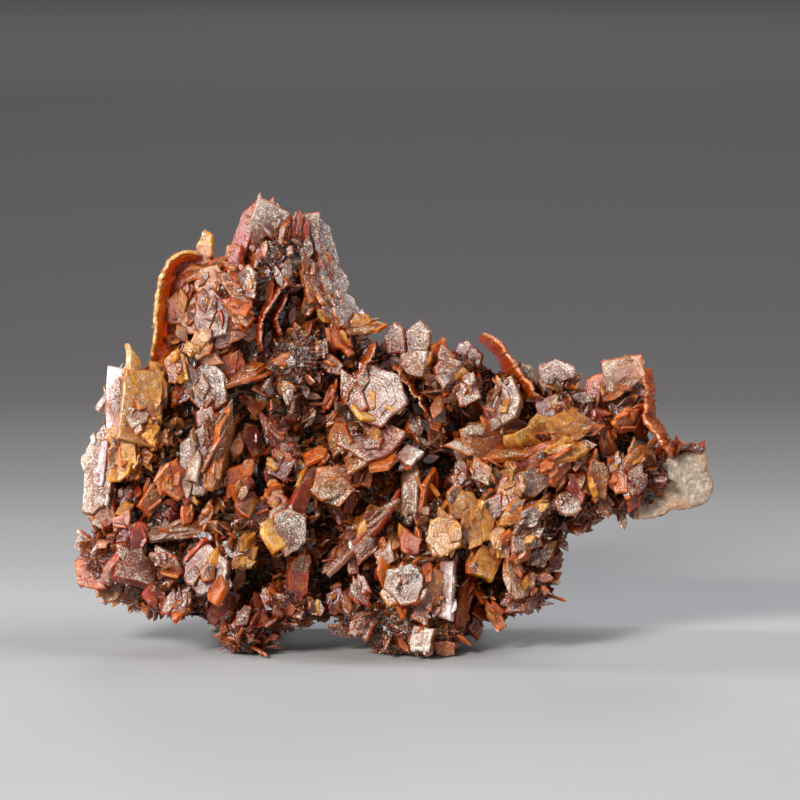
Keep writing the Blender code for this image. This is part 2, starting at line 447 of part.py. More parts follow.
def wall_solid(thickness, back, front, path):
    """A thin plate that follows a path across the face and runs straight back."""
    ends = np.array(path, float)
    along = np.gradient(ends, axis=0)
    along /= np.linalg.norm(along, axis=1)[:, None]
    side = np.stack([along[:, 1], -along[:, 0]], axis=1) * thickness / 2
    rings = []
    for point, offset in zip(ends, side):
        left, right = point - offset, point + offset
        rings.append([
            place(*left, back), place(*left, front), place(*right, front), place(*right, back)
        ])
    return ring_solid(rings)


def joined(solids):
    """Several solids as one list of points and faces."""
    points, faces = [], []
    for more_points, more_faces in solids:
        start = len(points)
        points += more_points
        faces += [tuple(start + i for i in face) for face in more_faces]
    return points, faces


def facing_out(obj):
    """Turns every face of a mesh outwards and splits it into triangles."""
    shape = bmesh.new()
    shape.from_mesh(obj.data)
    bmesh.ops.triangulate(shape, faces=shape.faces)
    bmesh.ops.recalc_face_normals(shape, faces=shape.faces)
    shape.to_mesh(obj.data)
    shape.free()
    return obj


def shells_of(shape):
    """The faces of a mesh in connected groups."""
    waiting = set(shape.faces)
    shells = []
    while waiting:
        front = [waiting.pop()]
        shell = list(front)
        while front:
            for edge in front.pop().edges:
                fresh = [face for face in edge.link_faces if face in waiting]
                waiting.difference_update(fresh)
                front += fresh
                shell += fresh
        shells.append(shell)
    return shells


def volume_of(shell):
    """Cubic millimetres inside a closed group of triangles, below zero round a hollow."""
    corners = [[vertex.co / MM for vertex in face.verts] for face in shell]
    return sum(a.dot(b.cross(c)) for a, b, c in corners) / 6


def drop_crumbs(obj):
    """Fills the pockets that crossing crystals seal off, and drops what the rock cuts loose."""
    shape = bmesh.new()
    shape.from_mesh(obj.data)
    bmesh.ops.triangulate(shape, faces=shape.faces)
    crumbs = [shell for shell in shells_of(shape) if volume_of(shell) < LARGEST_CRUMB]
    spare = [face for shell in crumbs for face in shell]
    bmesh.ops.delete(shape, geom=spare, context="FACES")
    shape.to_mesh(obj.data)
    shape.free()
    return obj


def add_boolean(obj, other, operation, itself=False):
    step = obj.modifiers.new(operation.title(), "BOOLEAN")
    step.solver = "EXACT"
    step.operation = operation
    step.object = other
    step.use_self = itself


def ellipsoid(across, up, out, half_a, half_u, half_o):
    """Points and faces of a ball stretched along the leaning axes."""
    shape = bmesh.new()
    bmesh.ops.create_icosphere(shape, subdivisions=2, radius=1.0)
    points = [
        place(across + v.co.x * half_a, up + v.co.y * half_u, out + v.co.z * half_o)
        for v in shape.verts
    ]
    faces = [tuple(v.index for v in f.verts) for f in shape.faces]
    shape.free()
    return points, faces


def melted(name, solids, voxel, share, helpers):
    """Overlapping solids melted into one skin, with about the given share of its faces kept."""
    obj = new_object(name, *joined(solids), helpers)
    skin = obj.modifiers.new("Skin", "REMESH")
    skin.mode = "VOXEL"
    skin.voxel_size = voxel * MM
    fewer = obj.modifiers.new("Fewer", "DECIMATE")
    fewer.ratio = share
    return as_helper(obj)


def rock_block(across, up, out, width, height, depth, spin, turn, tip):
    size = (height, width, depth)
    return plate_solid(place(across, up, out), crystal_rotation(spin, turn, tip), "block", size)


def make_rock(helpers, parts):
    """The slab of rock, with a broken, slightly uneven face."""
    slab = ring_solid(outline_rings(ROCK_OUTLINE, ROCK_RINGS, ROCK_CENTRE))
    blocks = [rock_block(*block) for block in ROCK_BLOCKS]
    rough = melted("rock_blank", [slab] + blocks, ROCK_VOXEL, ROCK_SHARE, helpers)
    rock = bpy.data.objects.new("matrix", evaluated_mesh(rough))
    parts.objects.link(rock)
    chance = np.random.default_rng(ROCK_SEED)
    for vertex in rock.data.vertices:
        vertex.co += Vector(chance.uniform(-1, 1, 3)) * ROCK_UNEVENNESS * MM
    return facing_out(rock)


def make_crust(helpers):
    slab = ring_solid(outline_rings(CRUST_OUTLINE, CRUST_RINGS, CRUST_CENTRE))
    mounds = [ellipsoid(*mound) for mound in MOUNDS]
    rough = melted("crust_blank", [slab] + mounds, CRUST_VOXEL, CRUST_SHARE, helpers)
    crust = bpy.data.objects.new("crust", evaluated_mesh(rough))
    helpers.objects.link(crust)
    return as_helper(facing_out(crust))


def crust_tree(crust):
    return BVHTree.FromPolygons(
        [v.co for v in crust.data.vertices], [tuple(p.vertices) for p in crust.data.polygons]
    )


def seat(tree, across, up, proud):
    """Where a crystal's middle goes: this proud of the crust, or of its front past the edge."""
    hit, _, _, _ = tree.ray_cast(place(across, up, RAY_START), -OUT)
    surface = EDGE_SEAT
    if hit is not None:
        surface = (hit - FACE_ORIGIN).dot(OUT) / MM
    return place(across, up, surface + proud)


def bites(tree, points):
    """Whether a corner lies well inside the crust."""
    for point in points:
        spot, normal, _, _ = tree.find_nearest(point)
        if (point - spot).dot(normal) < -BITE * MM:
            return True
    return False


def rooted_plate(tree, centre, turned, form, size):
    """A plate about a point, drawn towards the crust until it bites into it."""
    for _ in range(MOST_DRAWS):
        points, faces = plate_solid(centre, turned, form, size)
        if bites(tree, points):
            break
        spot, _, _, _ = tree.find_nearest(centre)
        centre = centre + (spot - centre).normalized() * BITE * MM
    return points, faces


def placed_crystals(tree):
    solids = []
    for across, up, proud, length, width, thickness, spin, turn, tip, form in CRYSTALS:
        centre = seat(tree, across, up, proud)
        turned = crystal_rotation(spin, turn, tip)
        solids.append(rooted_plate(tree, centre, turned, form, (length, width, thickness)))
    return solids


def scattered_crystals(crust):
    """Small lozenges standing on the crust, as on the sides and between the big ones."""
    chance = np.random.default_rng(SCATTER_SEED)
    faces = [p for p in crust.data.polygons if p.area > 0]
    areas = np.array([p.area for p in faces])
    solids, seats = [], []
    while len(solids) < SCATTER_COUNT:
        face = faces[chance.choice(len(faces), p=areas / areas.sum())]
        if not SCATTER_OUT[0] < (face.center - FACE_ORIGIN).dot(OUT) / MM < SCATTER_OUT[1]:
            continue
        centre = face.center + face.normal * SCATTER_PROUD * MM
        if any((centre - other).length < SCATTER_SPACING * MM for other in seats):
            continue
        seats.append(centre)
        length = chance.uniform(*SCATTER_LENGTH)
        leaning = face.normal.to_track_quat("Y", "Z").to_matrix()
        twist = Matrix.Rotation(chance.uniform(0, tau), 3, "Y")
        lean = Matrix.Rotation(chance.uniform(-SCATTER_LEAN, SCATTER_LEAN), 3, "X")
        turned = leaning @ twist @ lean
        width, thickness = (length * share for share in SCATTER_SHAPE)
        solids.append(grain_solid(centre, turned, length, width, thickness))
    return solids


def box_below_floor(helpers):
    x, y, height = (length * MM for length in FLOOR_CUT)
    corners = [(-x, -y), (x, -y), (x, y), (-x, y)]
    rings = [[Vector((a, b, z)) for a, b in corners] for z in (-height, 0.0)]
    return as_helper(facing_out(new_object("floor_cut", *ring_solid(rings), helpers)))


def finish(name, blank, material, parts):
    """The blank with its modifiers applied, as one closed solid of the object."""
    mesh = evaluated_mesh(blank)
    mesh.name = name
    mesh.materials.clear()
    mesh.materials.append(material)
    made = bpy.data.objects.new(name, mesh)
    parts.objects.link(made)
    return drop_crumbs(made)


def main():
    remove_startup_objects()
    parts = new_collection("descloizite_specimen")
    helpers = new_collection("cutters", helpers=True)
    rock_stone = new_material("grey_rock", ROCK_COLOUR, ROCK_ROUGH)
    crystal = new_material("descloizite", CRYSTAL_COLOUR, CRYSTAL_ROUGH)

    floor_cut = box_below_floor(helpers)
    rock = make_rock(helpers, parts)
    rock.data.materials.append(rock_stone)
    add_boolean(rock, floor_cut, "DIFFERENCE")

    crust = make_crust(helpers)
    solids = [wall_solid(*wall) for wall in WALLS]
    solids += placed_crystals(crust_tree(crust)) + scattered_crystals(crust)
    plates = as_helper(facing_out(new_object("plates", *joined(solids), helpers)))
    room = new_object("rock_room", [], [], helpers)
    room.data = rock.data.copy()
    swell = room.modifiers.new("Gap", "DISPLACE")
    swell.strength = GAP * MM
    swell.mid_level = 0.0
    as_helper(room)
    add_boolean(crust, plates, "UNION", itself=True)
    add_boolean(crust, room, "DIFFERENCE")
    add_boolean(crust, floor_cut, "DIFFERENCE")
    finish("descloizite_crystals", crust, crystal, parts)


main()
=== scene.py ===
"""Descloizite hand specimen, dressed: lozenge crystals and their druse on a slab of rock.

Crystals are placed in a frame that leans back by LEAN: across (+X), up along the crystal face,
and out towards the viewer. Lists hold millimetres and degrees, meshes hold metres.
"""

import json
from collections import namedtuple
from functools import cache
from math import cos, radians, sin, tau

import bmesh
import bpy
import numpy as np
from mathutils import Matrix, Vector, noise
from mathutils.bvhtree import BVHTree

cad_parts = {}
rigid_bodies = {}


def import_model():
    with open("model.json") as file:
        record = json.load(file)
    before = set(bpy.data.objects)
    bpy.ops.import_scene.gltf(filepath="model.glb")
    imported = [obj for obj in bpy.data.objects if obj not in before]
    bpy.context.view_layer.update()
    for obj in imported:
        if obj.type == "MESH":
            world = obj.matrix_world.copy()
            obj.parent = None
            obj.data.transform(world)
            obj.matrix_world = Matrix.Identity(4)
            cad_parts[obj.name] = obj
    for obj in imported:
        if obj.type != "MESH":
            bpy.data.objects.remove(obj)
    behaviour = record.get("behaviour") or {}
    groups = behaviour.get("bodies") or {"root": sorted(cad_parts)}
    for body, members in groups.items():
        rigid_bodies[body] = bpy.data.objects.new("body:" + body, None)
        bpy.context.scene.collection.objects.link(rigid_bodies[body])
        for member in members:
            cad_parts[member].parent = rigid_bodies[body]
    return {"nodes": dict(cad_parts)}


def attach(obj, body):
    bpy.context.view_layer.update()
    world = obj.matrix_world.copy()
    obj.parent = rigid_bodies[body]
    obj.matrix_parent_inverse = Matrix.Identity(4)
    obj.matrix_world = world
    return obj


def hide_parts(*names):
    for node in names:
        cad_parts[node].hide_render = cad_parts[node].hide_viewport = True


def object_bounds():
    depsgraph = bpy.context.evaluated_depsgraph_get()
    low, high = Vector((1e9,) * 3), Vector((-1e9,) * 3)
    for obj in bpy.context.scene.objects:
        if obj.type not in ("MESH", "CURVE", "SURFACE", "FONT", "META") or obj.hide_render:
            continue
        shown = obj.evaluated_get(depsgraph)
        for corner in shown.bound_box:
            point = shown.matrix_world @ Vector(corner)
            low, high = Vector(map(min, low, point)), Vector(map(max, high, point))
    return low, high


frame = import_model()
CAD_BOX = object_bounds()

bl_info = {
    "name": "Descloizite Specimen",
    "version": (1, 0, 0),
    "blender": (4, 5, 0),
    "location": "View3D > Sidebar > Specimen",
    "description": "Builds a descloizite hand specimen around its packed solids",
    "category": "Object",
}

MM = 0.001
LEAN = radians(8.0)
FACE_ORIGIN = np.array((0.0, -6.2, -1.1)) * MM
ACROSS = np.array((1.0, 0.0, 0.0))
UP = np.array((0.0, sin(LEAN), cos(LEAN)))
OUT = np.array((0.0, -cos(LEAN), sin(LEAN)))
LEANING = np.stack([ACROSS, UP, OUT], axis=1)

# Crust that carries the crystals: its outline, rings of it as (out, shrink), and mounds on it
# as (across, up, out, half width, half height, half depth).
CRUST_OUTLINE = [
    (-46, 14), (-46.5, 18), (-43.5, 22), (-44, 28), (-44.3, 33), (-41.5, 37), (-42, 42.5),
    (-36, 44), (-34.3, 50), (-33.3, 57), (-30, 60), (-25, 60), (-22.3, 65), (-19, 67.5),
    (-13.5, 65.5), (-11.3, 61), (-8.5, 54), (-5, 49), (1, 47), (6, 45), (11, 46.5),
    (15, 45), (19, 41), (25, 41.5), (30, 39.5), (34, 42), (37.5, 41), (38.5, 36),
    (41.8, 31.2), (43.6, 32.8), (48.2, 33.2), (48.9, 31.4), (44.4, 31.0), (43.0, 29.0),
    (42.8, 25.5), (40, 23), (36, 22.6), (31, 22), (26.4, 19.6), (25.6, 15.6),
    (22, 12), (17.5, 8.5), (13.5, 4.6), (4, 3.5), (-5, 4.6), (-10, 6.2), (-15, 6),
    (-21, 4), (-26, 4.6), (-33, 6.3), (-40, 6.8), (-45.3, 9.8),
]
CRUST_RINGS = [(-9.0, 0.93), (-5.0, 0.99), (1.6, 1.0)]
CRUST_CENTRE = (-3.0, 28.0)
MOUNDS = [
    (-18.0, 59.0, 0.0, 7.0, 9.0, 5.0), (-24.5, 55.0, 0.5, 4.5, 8.0, 5.0),
    (-40.0, 37.0, 0.5, 5.0, 8.0, 6.0), (-31.0, 46.0, 0.0, 5.0, 7.0, 5.5),
    (-30.0, 30.0, 1.5, 8.0, 9.0, 7.0), (-42.0, 15.5, 1.0, 6.5, 5.5, 7.5),
    (-33.0, 12.0, 2.5, 7.0, 6.0, 7.5), (-26.0, 17.0, 2.5, 6.0, 7.0, 8.0),
    (-15.0, 20.0, 3.0, 5.0, 7.5, 7.5), (-17.0, 8.0, 2.5, 6.0, 4.5, 7.5),
    (-4.0, 17.0, 2.0, 5.0, 5.5, 7.0), (-3.0, 7.0, 3.0, 6.5, 4.0, 8.0),
    (4.0, 11.0, 4.0, 6.5, 7.0, 9.5), (8.5, 20.0, 3.5, 5.5, 6.0, 9.5),
    (18.0, 19.0, 3.0, 7.0, 6.5, 9.0), (18.5, 11.0, 2.0, 6.5, 5.0, 8.0),
    (16.0, 27.5, 2.0, 8.0, 6.0, 8.5), (25.5, 30.0, 1.0, 7.0, 6.5, 8.0),
    (-12.0, 29.0, 2.0, 8.0, 4.5, 7.5), (-4.0, 38.0, 1.0, 6.5, 9.0, 7.5),
    (-15.5, 45.5, 0.5, 5.5, 7.0, 6.5), (3.5, 31.0, 1.0, 5.5, 6.5, 7.0),
    (9.5, 42.0, 0.0, 6.5, 5.0, 6.5), (17.5, 39.0, 0.5, 4.5, 5.5, 6.5),
    (25.5, 39.0, -1.0, 4.5, 4.5, 6.0), (36.0, 38.5, -1.0, 4.0, 5.5, 6.0),
    (35.5, 28.0, -1.0, 7.5, 5.0, 7.0), (28.0, 23.5, 0.0, 5.0, 4.0, 7.0),
    (-22.5, 3.4, 4.5, 4.2, 3.8, 5.0), (3.0, 3.6, 4.5, 8.0, 4.5, 6.0),
]
SEAT_VOXEL, SEAT_SHARE = 1.0, 0.012
# Where a crystal past the crust's edge is seated, and where rays at the crust start, out in mm.
EDGE_SEAT, FAR_OUT = 0.6, 60.0
# How deep a plate has to bite into the crust, in mm, and in how many draws at most.
BITE, MOST_DRAWS = 0.4, 20
# Share of its outline that the front of a plate takes.
FRONT_SHARE = 0.8

# Flat face of bare rock beside the crystals: its outline, and how far back and out it reaches.
ROCK_FACE = [
    (36.0, 23.0), (40.0, 27.0), (43.0, 31.0), (46.5, 31.8), (48.9, 31.3), (49.0, 28.6),
    (50.1, 26.8), (49.9, 25.3), (48.9, 23.7), (46.9, 22.9), (44.7, 22.6), (43.5, 22.9),
    (42.7, 21.8), (40.8, 21.3), (37.7, 21.1),
]
ROCK_FACE_DEPTH = (-9.0, 1.3)
# How far out the rock reaches behind the crystals, where dark hollows would show it.
ROCK_HIDDEN = -7.5
# Across which it comes forward into sight, and where its rusty rim starts and is full.
ROCK_SHOWS, ROCK_RUSTS = (36.5, 38.0), (36.0, 38.0)
# How far behind the flat face the broken foot goes, and how high and fast its edge waves.
FOOT_DEPTH, FOOT_WAVE, FOOT_PACE = 6, 0.15, 7.0
# How far it may stand out past its flat face. The rim is rusty where it faces the front less
# than so, more by this gain, and to this depth in mm.
FACE_SLACK, RUSTY_FACING, RUSTY_GAIN, RUSTY_DEPTH = 0.1, 0.8, 2.0, 1.5
# Broken lower edge of that rock: across, up.
ROCK_FOOT = [
    (34.0, 10.0), (35.7, 21.7), (37.7, 21.1), (40.8, 21.3), (42.7, 21.8), (43.5, 22.9),
    (44.7, 22.6), (46.9, 22.9), (48.9, 23.7), (49.9, 25.3), (50.4, 26.2),
]

# Hollows between the crystals, sunk into the bed and darkened with painted shade: (across, up,
# radius, depth).
HOLLOWS = [
    (-11.6, 57.6, 3.2, 4.0), (-12.7, 53.6, 1.4, 3.0), (-7.8, 42.8, 3.0, 4.5),
    (7.8, 29.6, 3.0, 5.0), (-13.0, 34.5, 2.8, 4.0), (-20.0, 27.6, 3.0, 4.5),
    (-22.5, 35.4, 2.4, 4.0), (-7.6, 23.9, 2.2, 4.0), (-10.8, 21.0, 2.4, 4.0),
    (-21.4, 11.4, 3.6, 5.0), (-9.0, 12.4, 4.2, 5.0), (-2.6, 10.8, 2.2, 3.5),
    (14.8, 10.5, 3.6, 4.5), (11.0, 18.0, 1.8, 3.5), (22.6, 25.0, 2.2, 4.0),
    (17.9, 25.3, 1.3, 3.0), (26.5, 22.4, 1.6, 3.5), (38.2, 33.4, 2.6, 4.0),
    (31.6, 30.6, 1.8, 3.5), (34.4, 25.4, 1.5, 3.0), (5.8, 37.2, 2.0, 4.0),
    (9.6, 36.0, 2.2, 4.0), (-42.6, 27.6, 1.8, 3.5), (-31.8, 38.6, 1.8, 3.5),
    (-32.0, 33.8, 1.6, 3.0), (-35.8, 23.8, 1.2, 3.0), (-28.0, 27.0, 1.2, 3.0),
    (-36.6, 16.6, 1.7, 3.0), (-26.6, 20.0, 1.4, 3.0), (-9.8, 46.0, 1.8, 3.5),
    (1.6, 25.4, 1.6, 3.5), (20.0, 10.0, 1.6, 3.0), (-30.6, 6.6, 1.6, 3.0),
    (15.0, 43.4, 1.6, 3.5),
]

# Where the fine druse grows thick: across, up, radius.
DRUSY = [
    (-17.5, 62.5, 5.0), (-15.0, 46.5, 6.0), (-13.0, 60.0, 4.0), (-8.0, 58.0, 4.0),
    (-28.0, 5.0, 7.0), (-14.0, 5.0, 7.0), (0.0, 4.0, 6.0), (12.0, 4.0, 6.0), (22.0, 9.0, 5.0),
    (26.0, 16.0, 4.0), (32.0, 22.0, 5.0), (40.0, 24.5, 4.5), (46.0, 32.0, 3.0),
    (-46.0, 14.0, 4.0), (-42.0, 8.0, 5.0), (10.0, 44.0, 4.0),
]
LEAST_DRUSE, DRUSE_RISE = 0.2, 1.5
# It grows thick too where the ground faces the front less than so, and how much thicker.
FLANK_FACING, FLANK_DRUSE = 0.3, 3

# Thin curved plates seen edge on: thickness, back, front, which way the front edge leans, tone,
# and the path they follow as [(across, up), ...].
WALLS = [
    (2.4, -5.0, 4.5, -1, "amber", [
        (-36.9, 45.5), (-36.0, 49), (-35.6, 53), (-35.4, 57), (-34.7, 60.2), (-32.9, 61.9),
        (-29.5, 61.8)]),
    (1.3, 1.0, 8.5, -1, "plum", [(-16.6, 59.5), (-19, 55), (-20.9, 51.5), (-20.7, 47.3)]),
    (1.1, 1.0, 7.8, -1, "red", [(-16.6, 56.5), (-18.4, 52.4), (-17.2, 49.2)]),
    (1.3, 1.0, 9.5, -1, "orange", [(-3, 48.6), (-5, 44.6), (-7, 41.2), (-8.3, 38.8)]),
    (1.1, 1.0, 9.0, 1, "tan", [(0.2, 45.3), (3.5, 41.5), (6, 37.5)]),
    (2.6, -3.0, 7.0, -1, "orange", [(14.0, 50.0), (16.6, 47.4), (19.4, 43.1), (22.6, 38.6)]),
    (2.2, -5.0, 5.5, 1, "orange", [
        (39.6, 44.8), (40.0, 41), (40.4, 37.2), (42.6, 33.4), (44.6, 30.8)]),
]

# Outlines of a plate, unit long and unit wide, long axis up, clockwise.
FORMS = {
    "rhomb": [(0.06, 0.5), (0.5, -0.04), (-0.06, -0.5), (-0.5, 0.04)],
    "hex": [(0.0, 0.5), (0.5, 0.2), (0.5, -0.24), (0.0, -0.5), (-0.5, -0.2), (-0.5, 0.24)],
    "blade": [(0.08, 0.5), (0.5, 0.26), (0.46, -0.5), (-0.46, -0.5), (-0.5, 0.2)],
    "shield": [(0.0, 0.5), (0.5, 0.08), (0.3, -0.5), (-0.3, -0.5), (-0.5, 0.02)],
    "block": [(0.5, 0.46), (0.46, -0.5), (-0.5, -0.46), (-0.44, 0.5)],
    "gable": [(-0.2, 0.5), (0.5, 0.2), (0.46, -0.3), (0.1, -0.5), (-0.35, -0.5), (-0.5, -0.1)],
}

# Big crystals by zone: across, up, proud of the crust, length, width, thickness, spin, turn,
# tip, form, tone. Spin leans the plate to the right, turn faces it right, tip faces it up.
# Plates of the whitest tone are painted glints and highlights where light strikes them.
PEAK = [
    (-19.5, 67.3, 0.9, 8.8, 6.8, 2.0, 0, 6, -4, "gable", "mauve"),
    (-22.7, 66.6, 1.5, 9.6, 3.2, 1.4, 19, -28, 0, "blade", "red"),
    (-24.8, 61.4, 1.4, 6.4, 2.4, 1.4, 20, -29, 1, "blade", "red"),
    (-13.7, 66.8, 0.6, 5.6, 5.0, 2.4, 2, 15, 4, "block", "mauve"),
    (-14.6, 67.4, 2.0, 4.4, 1.2, 1.0, 4, 10, 0, "blade", "red"),
    (-12.6, 67.6, 2.0, 3.8, 1.1, 1.0, -4, 10, 0, "blade", "red"),
    (-16.8, 65.0, 0.4, 6.5, 4.0, 1.3, 8, 66, 0, "blade", "umber"),
    (-20.6, 62.6, 1.8, 4.2, 2.6, 1.3, 12, -20, 6, "rhomb", "red"),
    (-10.4, 64.8, -0.6, 8.6, 5.0, 1.5, -17, 50, 0, "blade", "mauve"),
    (-9.2, 61.4, 0.4, 6.2, 3.6, 1.2, -26, 26, 0, "rhomb", "umber"),
    (-8.0, 59.4, -0.4, 8.0, 5.6, 1.5, -21, 46, 0, "hex", "mauve"),
    (-7.0, 56.6, 0.4, 5.6, 3.6, 1.2, -32, 24, 0, "rhomb", "tan"),
    (-12.2, 58.6, 1.0, 7.5, 4.0, 1.3, -14, 40, 0, "blade", "umber"),
    (-6.0, 54.4, -0.4, 8.5, 5.4, 1.4, -25, 44, 0, "hex", "mauve"),
    (-9.8, 53.6, 0.8, 6.5, 4.0, 1.3, -30, 35, 0, "rhomb", "mauve"),
    (-24.2, 60.0, 1.0, 5.4, 3.6, 1.3, -58, 20, 8, "shield", "orange"),
    (-24.5, 57.1, 1.4, 5.4, 3.6, 1.3, -62, 18, 6, "shield", "tan"),
    (-24.0, 54.6, 1.8, 5.2, 3.4, 1.2, -66, 20, 4, "shield", "orange"),
    (-23.4, 52.2, 1.8, 4.8, 3.4, 1.2, -60, 22, 4, "shield", "tan"),
    (-22.6, 58.2, 0.8, 5.6, 3.6, 1.3, 3, -30, 2, "blade", "mauve"),
    (-28.4, 53.6, 1.4, 7.8, 5.2, 1.5, 10, -16, 6, "hex", "pink"),
    (-28.4, 58.6, 0.6, 5.5, 4.2, 1.5, 22, -20, 8, "blade", "amber"),
    (-33.8, 54.0, 0.6, 5.6, 4.0, 1.3, 0, -24, 0, "blade", "amber"),
    (-31.2, 52.4, 1.0, 5.0, 3.2, 1.3, 20, -20, 4, "rhomb", "amber"),
    (-33.8, 58.2, 0.8, 4.6, 2.8, 1.0, 8, -40, 0, "shield", "tan"),
    (-29.2, 63.2, -0.6, 9.4, 3.4, 1.2, 10, -24, 0, "rhomb", "amber"),
    (-31.4, 54.6, -1.4, 15.0, 7.6, 1.6, 3, -26, 0, "blade", "amber"),
    (-31.0, 59.4, -1.0, 7.4, 6.4, 1.4, 24, -18, 0, "hex", "orange"),
    (-28.4, 52.4, 1.8, 7.6, 6.4, 1.2, 14, -10, 4, "hex", "pink"),
    (-25.2, 58.6, 1.0, 5.0, 4.2, 1.0, -64, 18, 6, "shield", "tan"),
    (-23.6, 50.2, 2.0, 5.8, 4.4, 1.1, 32, 8, 4, "rhomb", "tan"),
    (-29.5, 61.0, 1.4, 8.0, 3.6, 1.0, 67, -62, 0, "blade", "tan"),
    (-12.6, 54.6, 1.2, 4.6, 3.0, 1.2, 40, 20, 0, "shield", "mauve"),
]
LEFT = [
    (-39.2, 39.2, -0.2, 13.4, 6.8, 3.2, 4, 14, 2, "block", "amber"),
    (-37.0, 41.0, 0.5, 9.6, 2.8, 3.0, 5, 14, 2, "block", "yellow"),
    (-41.2, 33.0, 1.8, 6.6, 2.6, 2.0, -6, -10, 0, "block", "yellow"),
    (-40.6, 42.2, 2.0, 6.0, 4.2, 1.1, -12, -10, 32, "rhomb", "pale"),
    (-37.8, 40.6, 2.0, 6.2, 4.0, 1.1, 24, 6, 34, "rhomb", "tan"),
    (-40.2, 37.8, 2.0, 6.0, 4.4, 1.1, 8, -6, 34, "hex", "pale"),
    (-38.0, 35.0, 2.0, 6.0, 4.0, 1.1, -24, 8, 32, "rhomb", "yellow"),
    (-43.8, 39.4, 2.4, 11.4, 4.6, 1.8, 3, -36, 2, "block", "white"),
    (-46.2, 29.8, 1.6, 8.0, 2.2, 1.6, 6, -40, 0, "block", "white"),
    (-36.4, 42.6, 0.8, 8.4, 5.4, 1.6, 6, 8, 4, "blade", "yellow"),
    (-41.0, 31.0, 1.0, 9.0, 5.0, 1.4, 16, -10, 4, "rhomb", "yellow"),
    (-33.6, 45.2, 0.8, 5.4, 3.8, 1.5, -10, -14, 6, "blade", "amber"),
    (-33.0, 40.8, 1.2, 5.4, 4.2, 1.5, 24, -10, 0, "rhomb", "umber"),
    (-43.2, 34.2, 0.8, 4.4, 3.4, 1.6, -14, -20, 6, "rhomb", "yellow"),
    (-38.0, 37.0, 1.6, 5.0, 3.6, 1.5, 30, -6, 4, "rhomb", "yellow"),
    (-28.6, 41.6, 1.6, 9.2, 6.0, 1.7, 0, -12, 2, "hex", "mauve"),
    (-25.0, 44.8, 1.2, 6.0, 4.4, 1.6, 18, 8, 8, "blade", "orange"),
    (-23.4, 43.8, 2.0, 7.8, 4.4, 1.1, 70, -56, 0, "blade", "tan"),
    (-30.0, 48.2, 1.0, 5.6, 4.4, 1.4, -12, -14, 4, "rhomb", "amber"),
    (-26.4, 49.2, 1.2, 5.2, 3.4, 1.3, 34, 4, 4, "rhomb", "pink"),
    (-45.4, 29.4, 0.6, 15.0, 5.4, 2.2, 4, -24, 0, "blade", "pale"),
    (-45.2, 22.6, 0.4, 7.4, 4.8, 1.8, -8, -20, 4, "hex", "tan"),
    (-40.0, 29.0, 1.0, 4.4, 3.2, 1.5, 20, -16, 6, "rhomb", "yellow"),
    (-41.4, 25.0, 0.8, 5.0, 3.2, 1.4, 26, -10, 4, "rhomb", "umber"),
    (-37.0, 25.0, 1.8, 6.8, 3.2, 1.3, 35, 20, 8, "blade", "tan"),
    (-34.0, 27.2, 1.6, 7.4, 4.4, 1.5, 2, 16, 4, "hex", "orange"),
    (-30.6, 30.2, 1.8, 12.0, 5.8, 1.7, 2, -12, 2, "hex", "pale"),
    (-27.8, 33.4, 2.2, 5.0, 3.2, 1.2, 12, 20, 4, "rhomb", "pink"),
    (-25.4, 32.6, 2.6, 14.4, 4.6, 1.3, 9, 62, 0, "blade", "tan"),
    (-23.8, 27.4, 1.8, 7.4, 5.2, 1.6, 30, 14, 4, "rhomb", "orange"),
    (-29.0, 37.0, 1.4, 5.4, 3.8, 1.4, 24, -8, 8, "rhomb", "pink"),
    (-22.0, 33.6, 1.2, 6.4, 3.6, 1.4, -22, 30, 0, "blade", "plum"),
]
LOWER_LEFT = [
    (-21.2, 21.4, 2.4, 7.4, 6.4, 1.8, 38, 6, 12, "hex", "mauve"),
    (-23.0, 15.4, 1.6, 6.4, 4.2, 1.5, 50, 10, 8, "rhomb", "amber"),
    (-32.0, 19.6, 2.6, 12.2, 3.6, 1.1, 81, -52, 0, "blade", "pale"),
    (-35.6, 21.8, 1.2, 5.4, 4.2, 1.5, -14, -10, 4, "rhomb", "plum"),
    (-31.8, 22.6, 1.8, 4.8, 2.6, 1.2, 4, 24, 0, "shield", "orange"),
    (-28.8, 22.4, 1.8, 4.8, 2.6, 1.2, 16, -20, 0, "shield", "tan"),
    (-42.0, 20.6, 1.0, 5.6, 3.8, 1.5, 24, -12, 6, "rhomb", "orange"),
    (-39.4, 18.6, 1.4, 5.6, 3.2, 1.5, 4, 14, 0, "blade", "red"),
    (-44.4, 17.0, 1.0, 4.8, 3.0, 1.4, 35, -6, 4, "rhomb", "red"),
    (-48.4, 17.4, 0.0, 5.0, 3.8, 1.5, -20, -26, 4, "rhomb", "mauve"),
    (-40.2, 13.8, 1.4, 6.2, 7.6, 3.4, 6, 20, 22, "block", "pink"),
    (-47.0, 12.6, 0.4, 5.6, 4.6, 2.4, -14, -12, 8, "block", "orange"),
    (-44.0, 9.6, 0.6, 4.6, 3.4, 1.5, 40, -6, -6, "rhomb", "tan"),
    (-28.6, 13.2, 2.2, 9.0, 7.2, 2.6, 6, -14, 10, "hex", "pink"),
    (-29.4, 16.6, 1.4, 6.4, 3.6, 1.0, 42, 50, 0, "blade", "red"),
    (-26.4, 8.2, 1.6, 5.4, 4.2, 2.2, 24, 16, 4, "block", "red"),
    (-33.2, 8.6, 1.4, 6.0, 4.0, 1.5, 35, -8, 0, "rhomb", "pink"),
    (-37.2, 9.8, 1.2, 5.6, 3.8, 1.5, -18, 10, 0, "rhomb", "red"),
    (-35.4, 15.2, 1.6, 5.4, 3.6, 1.4, -36, -16, 6, "rhomb", "pink"),
    (-19.2, 9.6, 1.6, 5.4, 3.8, 1.5, 10, -8, 6, "rhomb", "pink"),
]
